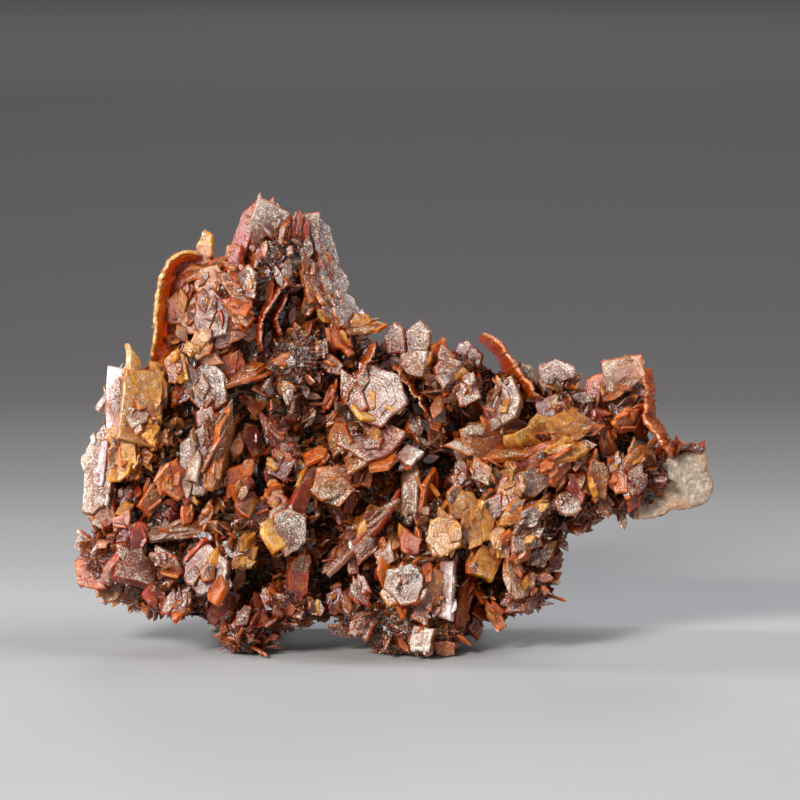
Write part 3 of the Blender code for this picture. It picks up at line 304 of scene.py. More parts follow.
MIDDLE = [
    (-15.3, 19.2, 2.2, 9.4, 5.6, 1.7, 6, 8, 4, "hex", "mauve"),
    (-14.8, 12.4, 1.8, 6.8, 3.8, 2.2, 2, 18, 0, "block", "red"),
    (-14.2, 24.6, 2.4, 7.0, 3.2, 1.4, 24, 34, 0, "blade", "red"),
    (-17.6, 24.2, 1.6, 5.2, 3.8, 1.4, -12, -16, 4, "rhomb", "orange"),
    (-17.6, 29.4, 1.8, 6.4, 5.4, 1.6, -28, -6, 4, "rhomb", "plum"),
    (-9.8, 27.0, 2.2, 8.4, 5.2, 1.6, 74, -4, 14, "hex", "tan"),
    (-11.8, 31.2, 0.9, 4.2, 3.0, 1.1, 66, -50, 0, "blade", "orange"),
    (-18.0, 34.2, 1.6, 7.4, 3.4, 1.3, -38, 26, 0, "blade", "plum"),
    (-4.4, 28.4, 2.4, 6.2, 3.8, 1.8, 10, 22, 4, "blade", "orange"),
    (-7.4, 18.8, 4.0, 15.6, 4.2, 1.2, 47, -54, 0, "blade", "pink"),
    (-4.8, 16.8, 2.6, 6.4, 4.6, 1.5, 10, 10, 4, "rhomb", "pink"),
    (-2.8, 21.6, 2.2, 6.2, 4.2, 1.5, 66, -6, 18, "rhomb", "tan"),
    (-9.0, 22.6, 0.8, 4.6, 2.6, 1.1, -36, -20, 0, "shield", "orange"),
    (-6.4, 24.0, 0.8, 4.6, 2.4, 1.1, 20, 24, 0, "shield", "orange"),
    (-1.2, 15.4, 1.0, 5.6, 4.0, 1.4, 16, -16, 4, "rhomb", "tan"),
    (-3.4, 33.6, 1.6, 8.2, 10.4, 1.9, 8, -10, 26, "hex", "pink"),
    (-2.9, 41.0, 1.6, 10.8, 9.8, 2.0, -14, -8, 10, "hex", "pink"),
    (-12.8, 37.8, 1.2, 4.6, 3.2, 1.2, 30, -24, 10, "rhomb", "pale"),
    (-10.0, 40.4, 1.8, 4.2, 2.2, 1.0, 20, -30, 0, "shield", "orange"),
    (-16.4, 41.4, 1.4, 4.6, 2.8, 1.2, -20, -16, 8, "rhomb", "mauve"),
    (-17.0, 46.0, 1.4, 4.2, 2.6, 1.1, 58, 4, 8, "rhomb", "orange"),
    (-11.2, 47.6, 1.4, 4.6, 2.8, 1.1, 25, 12, 8, "rhomb", "mauve"),
    (-9.2, 45.2, 1.6, 4.8, 2.8, 1.1, -58, 10, 8, "shield", "tan"),
    (-8.2, 49.6, 0.8, 5.8, 3.2, 1.3, -34, 30, 0, "hex", "orange"),
    (3.2, 26.2, 2.6, 8.8, 3.2, 1.3, 2, -34, 2, "blade", "pale"),
    (5.6, 26.0, 2.8, 7.4, 3.6, 1.1, 10, 60, 0, "blade", "orange"),
    (3.4, 35.4, 1.6, 5.4, 3.6, 1.3, -22, 20, 6, "rhomb", "mauve"),
    (2.2, 31.0, 2.2, 3.8, 3.4, 1.4, 40, -20, 26, "block", "white"),
]
SADDLE = [
    (-4.6, 51.8, 0.4, 4.6, 3.6, 1.5, -30, 10, 4, "hex", "amber"),
    (-3.8, 51.4, 0.8, 6.4, 3.0, 1.0, 84, -50, 0, "blade", "tan"),
    (-3.6, 53.2, 0.0, 4.6, 1.6, 0.9, 14, -10, 0, "blade", "white"),
    (0.4, 49.4, 0.4, 5.6, 3.4, 1.6, -8, -14, 0, "blade", "pink"),
    (4.2, 49.8, 0.2, 6.6, 4.4, 2.2, 5, -18, 2, "blade", "mauve"),
    (3.6, 45.2, 1.6, 4.8, 5.2, 2.2, 6, -26, 20, "block", "pale"),
    (7.2, 47.4, 0.4, 5.0, 3.6, 1.5, 20, 20, 6, "rhomb", "orange"),
    (9.2, 44.6, 1.4, 5.4, 4.6, 1.6, -10, 8, 14, "hex", "pink"),
    (11.6, 41.0, 1.6, 5.8, 5.0, 1.6, 16, -6, 8, "rhomb", "pink"),
    (13.0, 50.4, -0.6, 3.6, 3.0, 2.2, 12, -20, 6, "hex", "pink"),
    (13.2, 47.2, 0.6, 4.6, 3.2, 1.5, -24, -10, 6, "rhomb", "pink"),
    (17.6, 39.4, 2.0, 9.2, 5.6, 1.6, 18, -32, 8, "hex", "pale"),
    (18.8, 39.8, 2.8, 5.6, 1.8, 1.0, -34, -20, 4, "blade", "white"),
    (15.6, 36.2, 1.8, 5.2, 3.8, 1.4, -16, 14, 4, "rhomb", "pink"),
    (7.0, 37.4, 1.6, 4.8, 3.6, 1.3, 34, 4, 8, "rhomb", "tan"),
    (20.8, 43.6, 0.6, 4.8, 3.0, 1.3, -30, 20, 4, "blade", "pale"),
]
RIGHT = [
    (25.6, 43.8, 0.2, 5.0, 6.0, 1.8, -6, -6, 16, "hex", "mauve"),
    (27.6, 42.6, 0.4, 4.8, 2.6, 1.3, 64, 20, 10, "shield", "tan"),
    (23.6, 38.4, 1.6, 5.8, 5.4, 1.6, 22, -10, 10, "rhomb", "pink"),
    (26.6, 37.4, 1.8, 5.8, 3.0, 1.6, 4, 24, 0, "blade", "red"),
    (28.8, 37.0, 1.4, 4.8, 2.8, 1.2, 22, -22, 4, "shield", "pale"),
    (28.4, 35.2, 2.6, 7.2, 5.0, 1.2, 74, -52, 0, "rhomb", "tan"),
    (27.6, 33.2, 2.8, 8.2, 5.0, 1.2, 86, -46, 0, "hex", "amber"),
    (17.6, 33.4, 3.4, 15.0, 7.0, 1.6, 84, -50, 0, "hex", "tan"),
    (15.6, 33.4, 4.2, 11.0, 6.4, 0.9, 80, 0, 34, "blade", "tan"),
    (22.6, 35.2, 4.2, 10.4, 6.4, 0.8, 72, 8, 26, "rhomb", "amber"),
    (27.4, 36.4, 3.6, 8.0, 5.0, 0.8, 64, 0, 24, "blade", "amber"),
    (27.6, 33.6, 3.8, 8.6, 4.8, 0.8, 84, 0, 30, "rhomb", "yellow"),
    (22.0, 32.2, 3.8, 9.0, 4.6, 0.8, 76, 0, -14, "rhomb", "orange"),
    (12.4, 33.8, 4.0, 6.0, 4.2, 0.8, 68, 10, 20, "rhomb", "pale"),
    (19.0, 26.4, 3.0, 7.6, 5.2, 0.8, 38, -10, 8, "rhomb", "amber"),
    (13.0, 20.4, 3.2, 7.4, 5.4, 0.8, 14, 10, 8, "hex", "amber"),
    (24.2, 31.0, 2.2, 5.6, 4.0, 1.4, 40, 6, -6, "rhomb", "orange"),
    (25.8, 28.8, 2.0, 5.6, 3.6, 1.4, 12, 24, -4, "rhomb", "orange"),
    (10.4, 27.4, 2.0, 5.6, 4.0, 1.4, 14, -10, 4, "rhomb", "pink"),
    (14.0, 28.6, 0.8, 5.6, 4.0, 1.4, -36, -6, 6, "rhomb", "tan"),
    (10.8, 23.6, 2.0, 5.8, 5.0, 1.6, 30, 6, 4, "hex", "amber"),
    (15.0, 23.8, 2.6, 6.4, 4.4, 1.5, 25, -6, 4, "rhomb", "mauve"),
    (18.2, 22.8, 2.6, 6.0, 4.0, 1.4, 50, 8, 4, "rhomb", "amber"),
    (21.2, 22.0, 2.2, 6.4, 4.0, 1.4, 60, 14, 6, "rhomb", "mauve"),
    (22.4, 27.4, 2.4, 7.4, 4.6, 1.4, 56, 8, 8, "hex", "mauve"),
    (19.2, 29.2, 2.4, 5.4, 3.6, 1.4, -20, 20, 0, "rhomb", "amber"),
    (23.8, 22.6, 2.4, 5.2, 3.0, 1.0, 16, 58, 0, "blade", "umber"),
    (21.6, 18.2, 2.4, 7.2, 5.2, 1.2, 44, 10, 30, "hex", "mauve"),
    (22.6, 15.4, 1.8, 5.8, 4.4, 1.2, 56, 14, 24, "rhomb", "mauve"),
    (16.4, 18.6, 0.8, 5.0, 3.8, 1.4, 10, -8, 4, "rhomb", "amber"),
    (14.2, 14.6, 2.4, 5.2, 4.8, 2.6, 22, 18, 14, "block", "amber"),
    (7.6, 19.2, 0.8, 7.8, 5.4, 1.6, 8, -10, 4, "hex", "amber"),
    (2.8, 17.4, 2.8, 5.6, 4.2, 1.6, -26, -6, 6, "rhomb", "orange"),
]
LOWER_RIGHT = [
    (2.6, 11.0, 1.0, 7.4, 7.2, 1.8, 14, -6, 10, "hex", "mauve"),
    (-0.4, 9.4, 2.2, 8.4, 3.6, 1.0, -24, 58, 0, "blade", "orange"),
    (9.0, 9.8, 4.6, 10.0, 3.2, 1.6, 3, -30, 0, "block", "white"),
    (6.6, 11.2, 1.4, 6.4, 3.6, 1.5, 6, 16, 4, "blade", "tan"),
    (11.4, 9.4, 2.6, 10.0, 3.6, 1.1, 14, 56, 0, "blade", "orange"),
    (4.6, 2.8, 1.8, 4.6, 4.0, 2.2, 10, -18, 8, "block", "pale"),
    (4.4, 6.2, 2.4, 4.6, 3.6, 1.5, -30, 6, 4, "rhomb", "umber"),
    (-8.8, 8.8, 1.6, 5.6, 3.8, 1.5, 20, -10, 4, "rhomb", "plum"),
    (-4.8, 9.8, 2.2, 5.4, 3.6, 1.4, -32, 8, 6, "rhomb", "pink"),
    (-5.0, 4.8, 1.4, 4.8, 3.6, 1.4, 46, -4, -6, "rhomb", "pink"),
    (18.8, 13.0, 2.6, 7.8, 3.6, 1.0, -18, 52, 0, "blade", "tan"),
    (19.4, 15.2, 2.4, 4.8, 3.4, 1.1, 56, 6, 8, "rhomb", "orange"),
    (20.6, 11.4, 1.4, 5.2, 3.4, 1.3, 26, 16, 0, "rhomb", "tan"),
    (19.4, 8.4, 1.0, 5.4, 3.8, 1.4, 48, 8, 0, "rhomb", "pink"),
    (15.6, 6.6, 1.8, 5.6, 2.6, 1.3, -32, 10, 0, "shield", "orange"),
    (9.6, 3.6, 1.8, 4.8, 3.6, 1.4, 62, 0, -4, "rhomb", "red"),
    (12.8, 4.4, 1.2, 4.6, 3.0, 1.3, -14, 20, 0, "rhomb", "red"),
    (25.2, 14.6, 0.8, 4.6, 3.2, 1.3, 30, 24, 0, "rhomb", "red"),
]
ARM = [
    (36.2, 42.4, 0.8, 8.2, 7.0, 1.6, -12, -8, 4, "block", "tan"),
    (32.2, 41.4, 0.2, 5.6, 4.4, 1.8, 12, -14, 10, "hex", "orange"),
    (35.6, 36.6, 2.0, 4.8, 3.6, 1.1, 44, 40, 0, "blade", "orange"),
    (39.0, 36.2, 1.0, 5.6, 3.8, 1.2, 24, 50, 0, "blade", "red"),
    (33.4, 33.8, 1.6, 5.8, 2.8, 1.2, -6, 30, 0, "blade", "umber"),
    (35.2, 30.8, 2.0, 4.8, 4.2, 1.4, 30, -22, 8, "rhomb", "pale"),
    (38.8, 31.0, 1.6, 6.4, 3.8, 1.1, 52, 20, 26, "blade", "tan"),
    (38.4, 27.8, 1.4, 4.8, 3.0, 1.3, 16, 14, 0, "rhomb", "plum"),
    (34.8, 27.2, 1.8, 4.8, 3.4, 1.3, -8, -10, 4, "shield", "orange"),
    (31.8, 27.6, 1.8, 5.8, 4.0, 1.7, 10, 20, 4, "block", "tan"),
    (28.6, 26.2, 2.0, 5.0, 3.4, 1.4, -18, 12, 0, "rhomb", "red"),
    (27.2, 23.8, 1.6, 4.8, 4.2, 1.3, 32, -16, 18, "hex", "mauve"),
    (30.0, 31.0, 1.6, 5.2, 3.2, 1.3, 24, 26, 0, "rhomb", "tan"),
    (33.0, 23.2, 0.8, 4.6, 3.2, 1.3, -34, 4, -6, "rhomb", "umber"),
    (37.6, 24.2, 0.6, 4.6, 3.0, 1.3, 24, 10, -6, "rhomb", "red"),
    (42.4, 32.4, 0.4, 4.4, 2.6, 1.2, 18, 34, 4, "shield", "red"),
    (44.2, 33.6, -0.6, 2.8, 1.4, 0.8, 8, 24, 0, "shield", "red"),
    (45.6, 33.0, -0.4, 2.2, 1.4, 0.8, -24, 10, 0, "shield", "orange"),
    (46.8, 33.3, -0.6, 2.6, 1.3, 0.8, -6, 10, 0, "shield", "red"),
    (48.1, 32.8, -0.4, 2.4, 1.4, 0.8, 28, 20, 0, "shield", "red"),
    (31.6, 37.4, 1.0, 5.2, 3.4, 1.3, -30, 14, 6, "rhomb", "orange"),
]
SMALL = [
    (-25.6, 63.2, 0.4, 3.8, 2.4, 1.0, 30, -10, 0, "rhomb", "amber"),
    (-38.2, 31.2, 1.2, 3.8, 2.6, 1.2, -14, -10, 6, "rhomb", "yellow"),
    (-36.2, 33.8, 1.2, 4.0, 2.8, 1.2, 24, -6, 4, "rhomb", "yellow"),
    (-32.0, 25.2, 1.4, 4.0, 2.6, 1.2, -30, 10, 6, "rhomb", "orange"),
    (-9.4, 36.8, 1.2, 3.8, 2.4, 1.1, 26, -14, 4, "rhomb", "tan"),
    (-14.6, 50.0, 1.2, 3.8, 2.4, 1.1, -24, 16, 6, "rhomb", "mauve"),
    (41.6, 27.2, 0.8, 3.8, 2.6, 1.1, 20, 20, 0, "rhomb", "red"),
    (-12.4, 7.8, 1.4, 4.0, 2.8, 1.2, -34, 8, 0, "rhomb", "pink"),
    (-22.6, 5.6, 1.2, 3.8, 2.6, 1.1, 40, -6, 4, "rhomb", "pink"),
    (7.6, 34.2, 1.4, 3.8, 2.6, 1.1, -18, 20, 6, "rhomb", "umber"),
    (-18.4, 62.0, 1.4, 3.6, 2.4, 1.1, 34, 10, 8, "rhomb", "mauve"),
]
ZONES = {
    "peak": PEAK, "left": LEFT, "lower_left": LOWER_LEFT, "middle": MIDDLE,
    "saddle": SADDLE, "right": RIGHT, "lower_right": LOWER_RIGHT, "arm": ARM, "small": SMALL,
}

# Colour of the fine crystals: (across, up, reach, tone).
SPOTS = [
    (-18.0, 66.0, 5.0, "ash"), (-15.0, 59.0, 6.0, "ash"), (-9.0, 60.0, 4.0, "mauve"),
    (-24.0, 57.0, 3.5, "orange"), (-29.0, 54.0, 4.0, "pink"), (-32.5, 50.0, 3.5, "amber"),
    (-35.0, 57.0, 2.5, "orange"), (-42.0, 41.0, 3.0, "pale"), (-36.0, 43.0, 3.0, "amber"),
    (-41.5, 34.0, 3.5, "yellow"), (-29.0, 41.0, 4.0, "mauve"), (-16.0, 46.0, 5.5, "ash"),
    (-24.0, 48.0, 3.5, "pink"), (-45.0, 29.0, 3.5, "pink"), (-39.0, 28.0, 3.0, "umber"),
    (-32.0, 30.0, 4.5, "tan"), (-24.5, 31.0, 4.0, "tan"), (-17.0, 30.0, 4.0, "plum"),
    (-9.0, 33.0, 4.5, "tan"), (-34.0, 20.0, 5.0, "tan"), (-45.0, 14.0, 4.5, "orange"),
    (-40.0, 17.0, 4.0, "red"), (-31.0, 12.0, 5.0, "pink"), (-22.0, 16.0, 4.5, "tan"),
    (-38.0, 6.0, 4.5, "orange"), (-28.0, 5.0, 5.0, "red"), (-16.0, 6.0, 5.0, "red"),
    (-15.0, 18.0, 4.5, "plum"), (-5.0, 6.0, 5.0, "plum"), (-6.0, 15.0, 4.5, "umber"),
    (-3.0, 23.0, 4.5, "tan"), (-3.0, 37.0, 6.0, "pink"), (2.0, 31.0, 3.0, "ash"),
    (3.0, 13.0, 5.0, "tan"), (6.0, 22.0, 4.0, "tan"), (8.0, 3.0, 5.0, "orange"),
    (0.0, 49.0, 4.0, "pink"), (9.0, 44.0, 4.5, "pink"), (10.0, 34.0, 4.0, "ash"),
    (17.0, 39.0, 4.0, "pink"), (14.0, 26.0, 5.0, "tan"), (20.0, 22.0, 4.5, "tan"),
    (26.0, 30.0, 4.0, "orange"), (27.0, 37.0, 4.0, "tan"), (17.0, 12.0, 5.0, "tan"),
    (22.0, 10.0, 4.0, "red"), (26.0, 16.0, 4.0, "red"), (16.0, 5.0, 4.5, "red"),
    (26.0, 43.0, 3.0, "umber"), (36.0, 42.0, 4.0, "pink"), (34.0, 35.0, 4.0, "orange"),
    (32.0, 27.0, 5.0, "umber"), (38.0, 26.0, 5.0, "plum"), (34.0, 22.0, 4.0, "red"),
    (44.0, 30.0, 4.0, "red"), (48.0, 33.0, 3.0, "red"),
]

# Back to front of a big plate: (inset from the rim in mm, out as a share of the thickness, glow).
RIM_PROFILE = [
    (0.7, -0.5, 0.3), (0.14, -0.42, 0.8), (0.0, -0.3, 1.0), (0.0, 0.26, 1.0),
    (0.1, 0.43, 0.95), (0.24, 0.5, 0.6), (0.36, 0.51, 0.0),
]
# Growth steps on the face of a big plate: (share of the face, rise in mm).
STEP_PROFILE = [(0.74, 0.0), (0.71, 0.1), (0.48, 0.1), (0.45, 0.18), (0.2, 0.18)]
# Points round a big plate and round a sister, and how far the rim's bevel may reach in.
PLATE_AROUND, SISTER_AROUND, MOST_INSET = 36, 14, 0.55
# Rims: depth of the notches, how often and how long they are, how far corners shift, and where
# and how deep a side is chipped.
RAG, NOTCH_CHANCE, NOTCH_RUN = 0.24, 0.6, (1, 5)
CORNER_SHIFT, CHIP_REACH, CHIP_DEPTH = (0.92, 1.06), (0.6, 0.95), (0.8, 1.0)
# Share of the tables' thickness that a plate gets, and unevenness of its faces in mm.
THINNED, UNEVENNESS = 0.8, 0.012
# Drift and rise of the growth steps, and how the rim's glow varies; glow of back and front.
DRIFT, MOST_DRIFT, RISE, RISE_SPREAD = 0.22, 0.4, 0.35, 0.45
LEAST_LIT, LIT_SPREAD, END_GLOWS = 0.3, 0.15, [0.1, 0.0]
# Colour across a plate: warmth in its middle, from side to side, and its unevenness.
WARM_MIDDLE, WARM_SLOPE, WARM_SPREAD = 0.45, 0.7, 0.08
# Chance shifts of colour: of a plate, and how warmth shifts red, green and blue.
PLATE_TINT_SPREAD, WARMTH_SHARE, WARMING, BRIGHTEST = 0.14, 0.35, (0.4, 0.0, -1.0), 0.95

# Forms of big plate whose face stays free of sisters.
CALM_FORMS = ("gable", "block")
# Sisters: forms and tones, how often on the face of the big plate, and ranges of how far along,
# how far out and how large, on its face and beside it.
SISTER_FORMS = {"rhomb": 0.4, "hex": 0.15, "blade": 0.15, "shield": 0.3}
SISTER_TONES = ["tan", "mauve", "orange", "amber", "umber", "yellow"]
ON_FACE_SHARE, SAME_TONE = 0.4, 0.6
ON_FACE = (0.05, 0.34), (0.4, 0.95), (0.3, 0.55)
BESIDE = (0.28, 0.5), (-0.9, 0.5), (0.5, 0.85)
SISTER_SLIM, SISTER_THIN = (0.55, 0.95), (0.45, 0.8)
# Spreads of the turns about out, across and up, in degrees.
SISTER_TURNS = (16, 20, 24)

# Daughters: chance of each place from the middle (0) to the rim (1), where the rim starts, lean
# on the rim and on the face, and ranges of size. They are this many at least on a plate, and on
# the rim they stand anywhere in its thickness and are smaller.
DAUGHTER_PLACES = {0.93: 0.5, 0.86: 0.32, 0.8: 0.14, 0.6: 0.02, 0.4: 0.02}
RIM_STARTS, DAUGHTER_SPIN, RIM_LEAN, FACE_LEAN = 0.85, 11, 9.0, 22.0
DAUGHTER_LENGTHS, DAUGHTER_LIMITS = (0.14, 0.42), (0.9, 3.8)
DAUGHTER_SLIM, DAUGHTER_THIN, DAUGHTER_THICKEST = (0.38, 0.72), (0.14, 0.3), 0.6
DAUGHTERS_LEAST, RIM_LIFT, FACE_LIFT, RIM_SIZE = 3, (-0.3, 0.5), 0.5, 0.8
DAUGHTER_TINT_SPREAD, DAUGHTER_GLOW = 0.2, (0.1, 1.0)

# A small lozenge: its outline, and (share, out, glow) from back to front.
LOZENGE_OUTLINE = [
    (0.03, 0.5), (0.4, 0.13), (0.44, -0.16), (0.02, -0.5), (-0.4, -0.13), (-0.44, 0.16),
]
LOZENGE_PROFILE = [(0.88, -0.5, 0.5), (1.0, -0.05, 1.0), (0.84, 0.5, 0.15)]
# How far each corner shifts, and the (out, glow) of the points that close its back and front.
LOZENGE_SHIFT, LOZENGE_ENDS = (0.82, 1.15), ((-0.5, 0.3), (0.54, 0.0))

# Curved plates: points along, rounding of the ends, smoothing of the path, how far it wanders,
# noise of the section, and how the front edge is broken.
WALL_STEPS, WALL_CORNER, WALL_SMOOTHING, WALL_KNOT = 44, 9, 3, 4
WALL_WANDER, WALL_NOISE, WALL_SWELL = 0.15, 0.07, (0.8, 1.2)
WALL_RAG, WALL_RAG_CHANCE, WALL_ROUNDED = 1.1, 0.4, 0.45
WALL_DRUSE, WALL_GLOW, WALL_FROST = 0.03, 0.85, 0.15
# How thin they get at their ends, and how much of the face's own colour their sides keep.
WALL_TAPER, WALL_FACE = 0.4, 0.1
# How whitish the front edge of a curved plate is, when thin and when thicker than THICK_WALL.
THIN_EDGE, THICK_EDGE, THICK_WALL = 0.7, 0.22, 1.5
# Round the section of a curved plate: (side, from back to front, share of pale edge).
WALL_SECTION = [
    (-0.8, 0.0, 0.0), (-0.9, 0.25, 0.0), (-1.0, 0.5, 0.2), (-1.05, 0.75, 0.4), (-1.0, 0.95, 0.8),
    (-0.85, 1.0, 1.0), (-0.6, 1.0, 0.8), (-0.4, 0.94, 0.0), (0.05, 0.75, 0.0), (0.45, 0.5, 0.0),
    (0.75, 0.25, 0.0), (0.8, 0.0, 0.0),
]

# Openness of a place: rays, how far they look and spread, and how far out they start; then how
# it darkens a colour as painted shade, and what is left in the deepest place.
OPEN_RAYS, OPEN_REACH, OPEN_SPREAD, OPEN_START = 6, 6.0, 0.75, 0.4
OPEN_POWER, DEEPEST_PAINTED_SHADE = 1.5, 0.25
# How far off its ground a spot is looked at from, in mm, when only one way has to be clear.
CLEAR_START = 0.12
# Gaps between crystals, for painted shade, are found on a grid: its cell, margin and how far to
# look, in mm.
GAP_CELL, GAP_MARGIN, GAP_SAMPLES = 0.9, 8.0, 60000
GAP_REACHES = (1.6, 2.5, 3.4, 4.4, 5.6)
GAP_OPEN = (0.04, 0.48)
# Painted shade: what is left of a colour in the deepest gap, where red lasts longest.
PAINTED_GAP_SHADE = np.array((0.34, 0.07, 0.01))
# How much of a rim's glow escapes the painted shade, and how much frosting the painted shade takes
# away.
GLOW_KEPT, PAINTED_SHADE_FROST_CUT = 0.25, 0.5

# Shapes of the spread of lengths of young crystals and of the finest blades.
YOUNG_BETA, NEEDLE_BETA = (1.4, 2.4), (1.3, 2.6)
# Young crystals: spacing in mm, lean towards the front and spread, least openness, share that
# lies flat, share that may be covered, and how far above them is looked.
YOUNG_SPACING, YOUNG_OUT, YOUNG_SPREAD, LEAST_OPEN = 1.15, 0.6, 0.5, 0.45
LYING_SHARE, COVERED_SHARE, YOUNG_REACH = 0.45, 0.12, 9.0
# Their least length and its range, how slim and thin they are, and the most thickness.
YOUNG_LENGTHS, YOUNG_SLIM = (2.0, 4.8), (0.32, 0.68)
YOUNG_THIN, YOUNG_THICKEST = (0.14, 0.28), 0.5
# Where they may start: facing the front at least so, at most so deep in a hollow, and seldom in
# thick druse. Towards the flanks they are smaller.
YOUNG_FACING, YOUNG_HOLLOW, YOUNG_DRUSE, FLANK_SIZE = -0.25, 0.5, 0.85, 0.45
# How far a lying one is off the ground, and where on its length a standing one is rooted.
LYING_LIFT, STANDING_LIFT = (0.1, 1.5), 0.26
# Share of clear ones; frosting of clear and of other ones; and how the glow of a rim varies.
CLEAR_SHARE, CLEAR_FROST, YOUNG_FROST, YOUNG_GLOW = 0.35, 0.1, (0.25, 0.7), (0.2, 1.0)
# Shares of their zone's tone and of a warm one in a clear face and in a rim, and their spreads.
CLEAR_TINT, RIM_TINT, YOUNG_FACE_SPREAD, YOUNG_RIM_SPREAD = (0.6, 0.25), (0.3, 0.7), 0.3, 0.25
# The finest blades: lengths on the bed and on the faces, spread of direction, room above each.
BED_DRUSE, FACE_DRUSE = (0.8, 2.0), (0.35, 1.1)
BED_SPREAD, FACE_SPREAD, NEEDLE_REACH = 1.1, 1.6, 0.9
NEEDLE_SLIM, NEEDLE_THIN, NEEDLE_ROOT = (0.16, 0.42), (0.08, 0.18), 0.28
NEEDLE_WAIST, NEEDLE_FROST = (-0.12, 0.12), (0.0, 0.6)
NEEDLE_GLOWS = np.array([0.1, 0.7, 0.2, 0.7, 0.2, 1.0])
NEEDLE_FACES, DRUSE_PIECES = 8, 3
# Where druse may start, how much fewer blades a hollow has, and the shares of pale tint on the
# faces, of blades painted as glints and of pale tips.
DRUSE_FACING, HOLLOW_LESS, PALED, PAINTED_GLINT_BLADES, PALE_TIPS = -0.35, 0.8, 0.35, 0.05, 0.5
DRUSE_TINT_SPREAD, PALE_LIGHT, PAINTED_GLINT_LIGHT = 0.3, (0.4, 1.0), 0.8
# On the faces they grow where soft noise of this size in mm is above this level.
FACE_PATCH, PATCH_SIZE = 0.08, 2.6
# How many try for each one wanted, and how densely they grow on each kind of piece.
TRIES = 4
BED_SHARE, PLATE_SHARE, SISTER_SHARE = 0.6, 0.22 / 190, 0.16

# Rough surfaces: sizes and depths of noise in mm.
ROCK_NOISE = (3.0, 1.2, 0.6), (0.25, 0.16, 0.12)
BED_NOISE = (4.0, 1.5, 0.7), (0.7, 0.6, 0.35)
# The bed: how far it is drawn in all round and from the front, its colour with painted shade, the
# painted shade of its hollows, and its frosting.
BED_DRAWN, BED_SUNK, BED_TONE_AND_SHADE, HOLLOW_PAINTED_SHADE, BED_FROST = 0.45, 0.7, 0.22, 0.19, 0.1

SEEDS = {
    "plates": 3, "sister_plates": 4, "daughter_lozenges": 5, "curved_plates": 7,
    "young_crystals": 11, "druse": 13, "gaps": 17,
}
# How far the facets of each finish are tilted.
GLITTER = {"frosted_crystal": 0.34, "fine_druse": 0.15}
# Patches of noise in the finish of the crystals, in mm: clouds of rust, pits and fine grain.
CLOUD, PIT, GRAIN = 1.5, 0.7, 0.16
# Noise between which the rust comes up, and its share; the same for the pits.
RUSTING, RUST_SHARE, PITTING, PIT_SHARE = (0.48, 0.7), 0.45, (0.3, 0.6), 0.5
# How much the attribute, clouds, grain and facets add to the frosting, and its most.
FROST_GAIN, BY_CLOUD, BY_GRAIN, BY_FACET, MOST_FROST = 1.1, 0.8, 0.9, 1.1, 0.8
# Frosting between which it comes up, clouds between which a rim lets light through, and how
# much rougher a facet may be.
FROSTING, GLOWING, FACET_ROUGHNESS = (0.1, 1.0), (0.25, 0.6), 0.18
# Rock: noise of its stains and of its grain as (size in mm, detail, roughness), and its flecks.
STAIN_NOISE, GRAIN_NOISE, FLECK_SIZE = (5.0, 5.0), (0.5, 4.0, 0.7), 0.45
# Noise between which pale grain, stains and the grain in a stain come up, and their shares.
PALE_GRAIN, STAINS, STAIN_GRAIN = (0.35, 0.68), (0.5, 0.72), (0.2, 0.55)
FLECK_ABOVE, FLECK, STAIN, RIM_STAIN = 0.86, 0.5, 0.45, 0.85
ROCK_ROUGHNESS, GRAIN_ROUGHNESS = 0.75, 0.2
# Relief of the crystals and of the rock: strength, and depth in mm.
CRYSTAL_RELIEF, ROCK_RELIEF = (0.8, 0.08), (0.7, 0.25)
# Painted glints on the brightest facets: above this number by chance, and how much glint colour
# they take.
PAINTED_GLINT_ABOVE, PAINTED_GLINT_SHARE = 0.84, 0.4
# Blue of a tint from which its frosting takes the colour of painted glints.
PAINTED_GLINT_BLUE = (0.19, 0.26)


def place(across, up, out):
    """Points of the leaning frame, in metres in the world."""
    flat = np.stack(np.broadcast_arrays(across, up, out), axis=-1).astype(float)
    return FACE_ORIGIN + flat @ LEANING.T * MM


def leaning_spots(points):
    """World points as across, up and out, in millimetres."""
    return (np.asarray(points) - FACE_ORIGIN) @ LEANING / MM


def axis_turns(axis, degrees):
    """Rotation matrices about one axis, one for each angle."""
    angle = np.radians(np.atleast_1d(degrees).astype(float))
    made = np.zeros((len(angle), 3, 3))
    first, second = ((1, 2), (2, 0), (0, 1))[axis]
    made[:, axis, axis] = 1.0
    made[:, first, first] = made[:, second, second] = np.cos(angle)
    made[:, second, first] = np.sin(angle)
    made[:, first, second] = -np.sin(angle)
    return made


def crystal_turns(spin, turn, tip):
    """The rotation of a big plate from its spin, turn and tip."""
    spun, tipped, faced = axis_turns(2, -spin), axis_turns(0, -tip), axis_turns(1, turn)
    return LEANING @ spun @ tipped @ faced


def loose_turns(chance, *spreads, shape=None):
    """Rotations by chance about out, across and up, each with its spread in degrees."""
    spun, tipped, faced = (spread * chance.normal(0, 1, shape) for spread in spreads)
    return axis_turns(2, spun) @ axis_turns(0, tipped) @ axis_turns(1, faced)


def unit(vectors):
    """Vectors of length 1 along these."""
    return vectors / np.linalg.norm(vectors, axis=-1, keepdims=True)


def roughly_along(chance, directions, spread, lying=False):
    """Rotations whose long axis, or broad face when lying, follows each direction roughly."""
    axis = unit(directions + spread * chance.normal(size=directions.shape))
    side = unit(np.cross(axis, chance.normal(size=directions.shape)))
    if lying:
        return np.stack([side, np.cross(axis, side), axis], axis=2)
    return np.stack([side, axis, np.cross(side, axis)], axis=2)


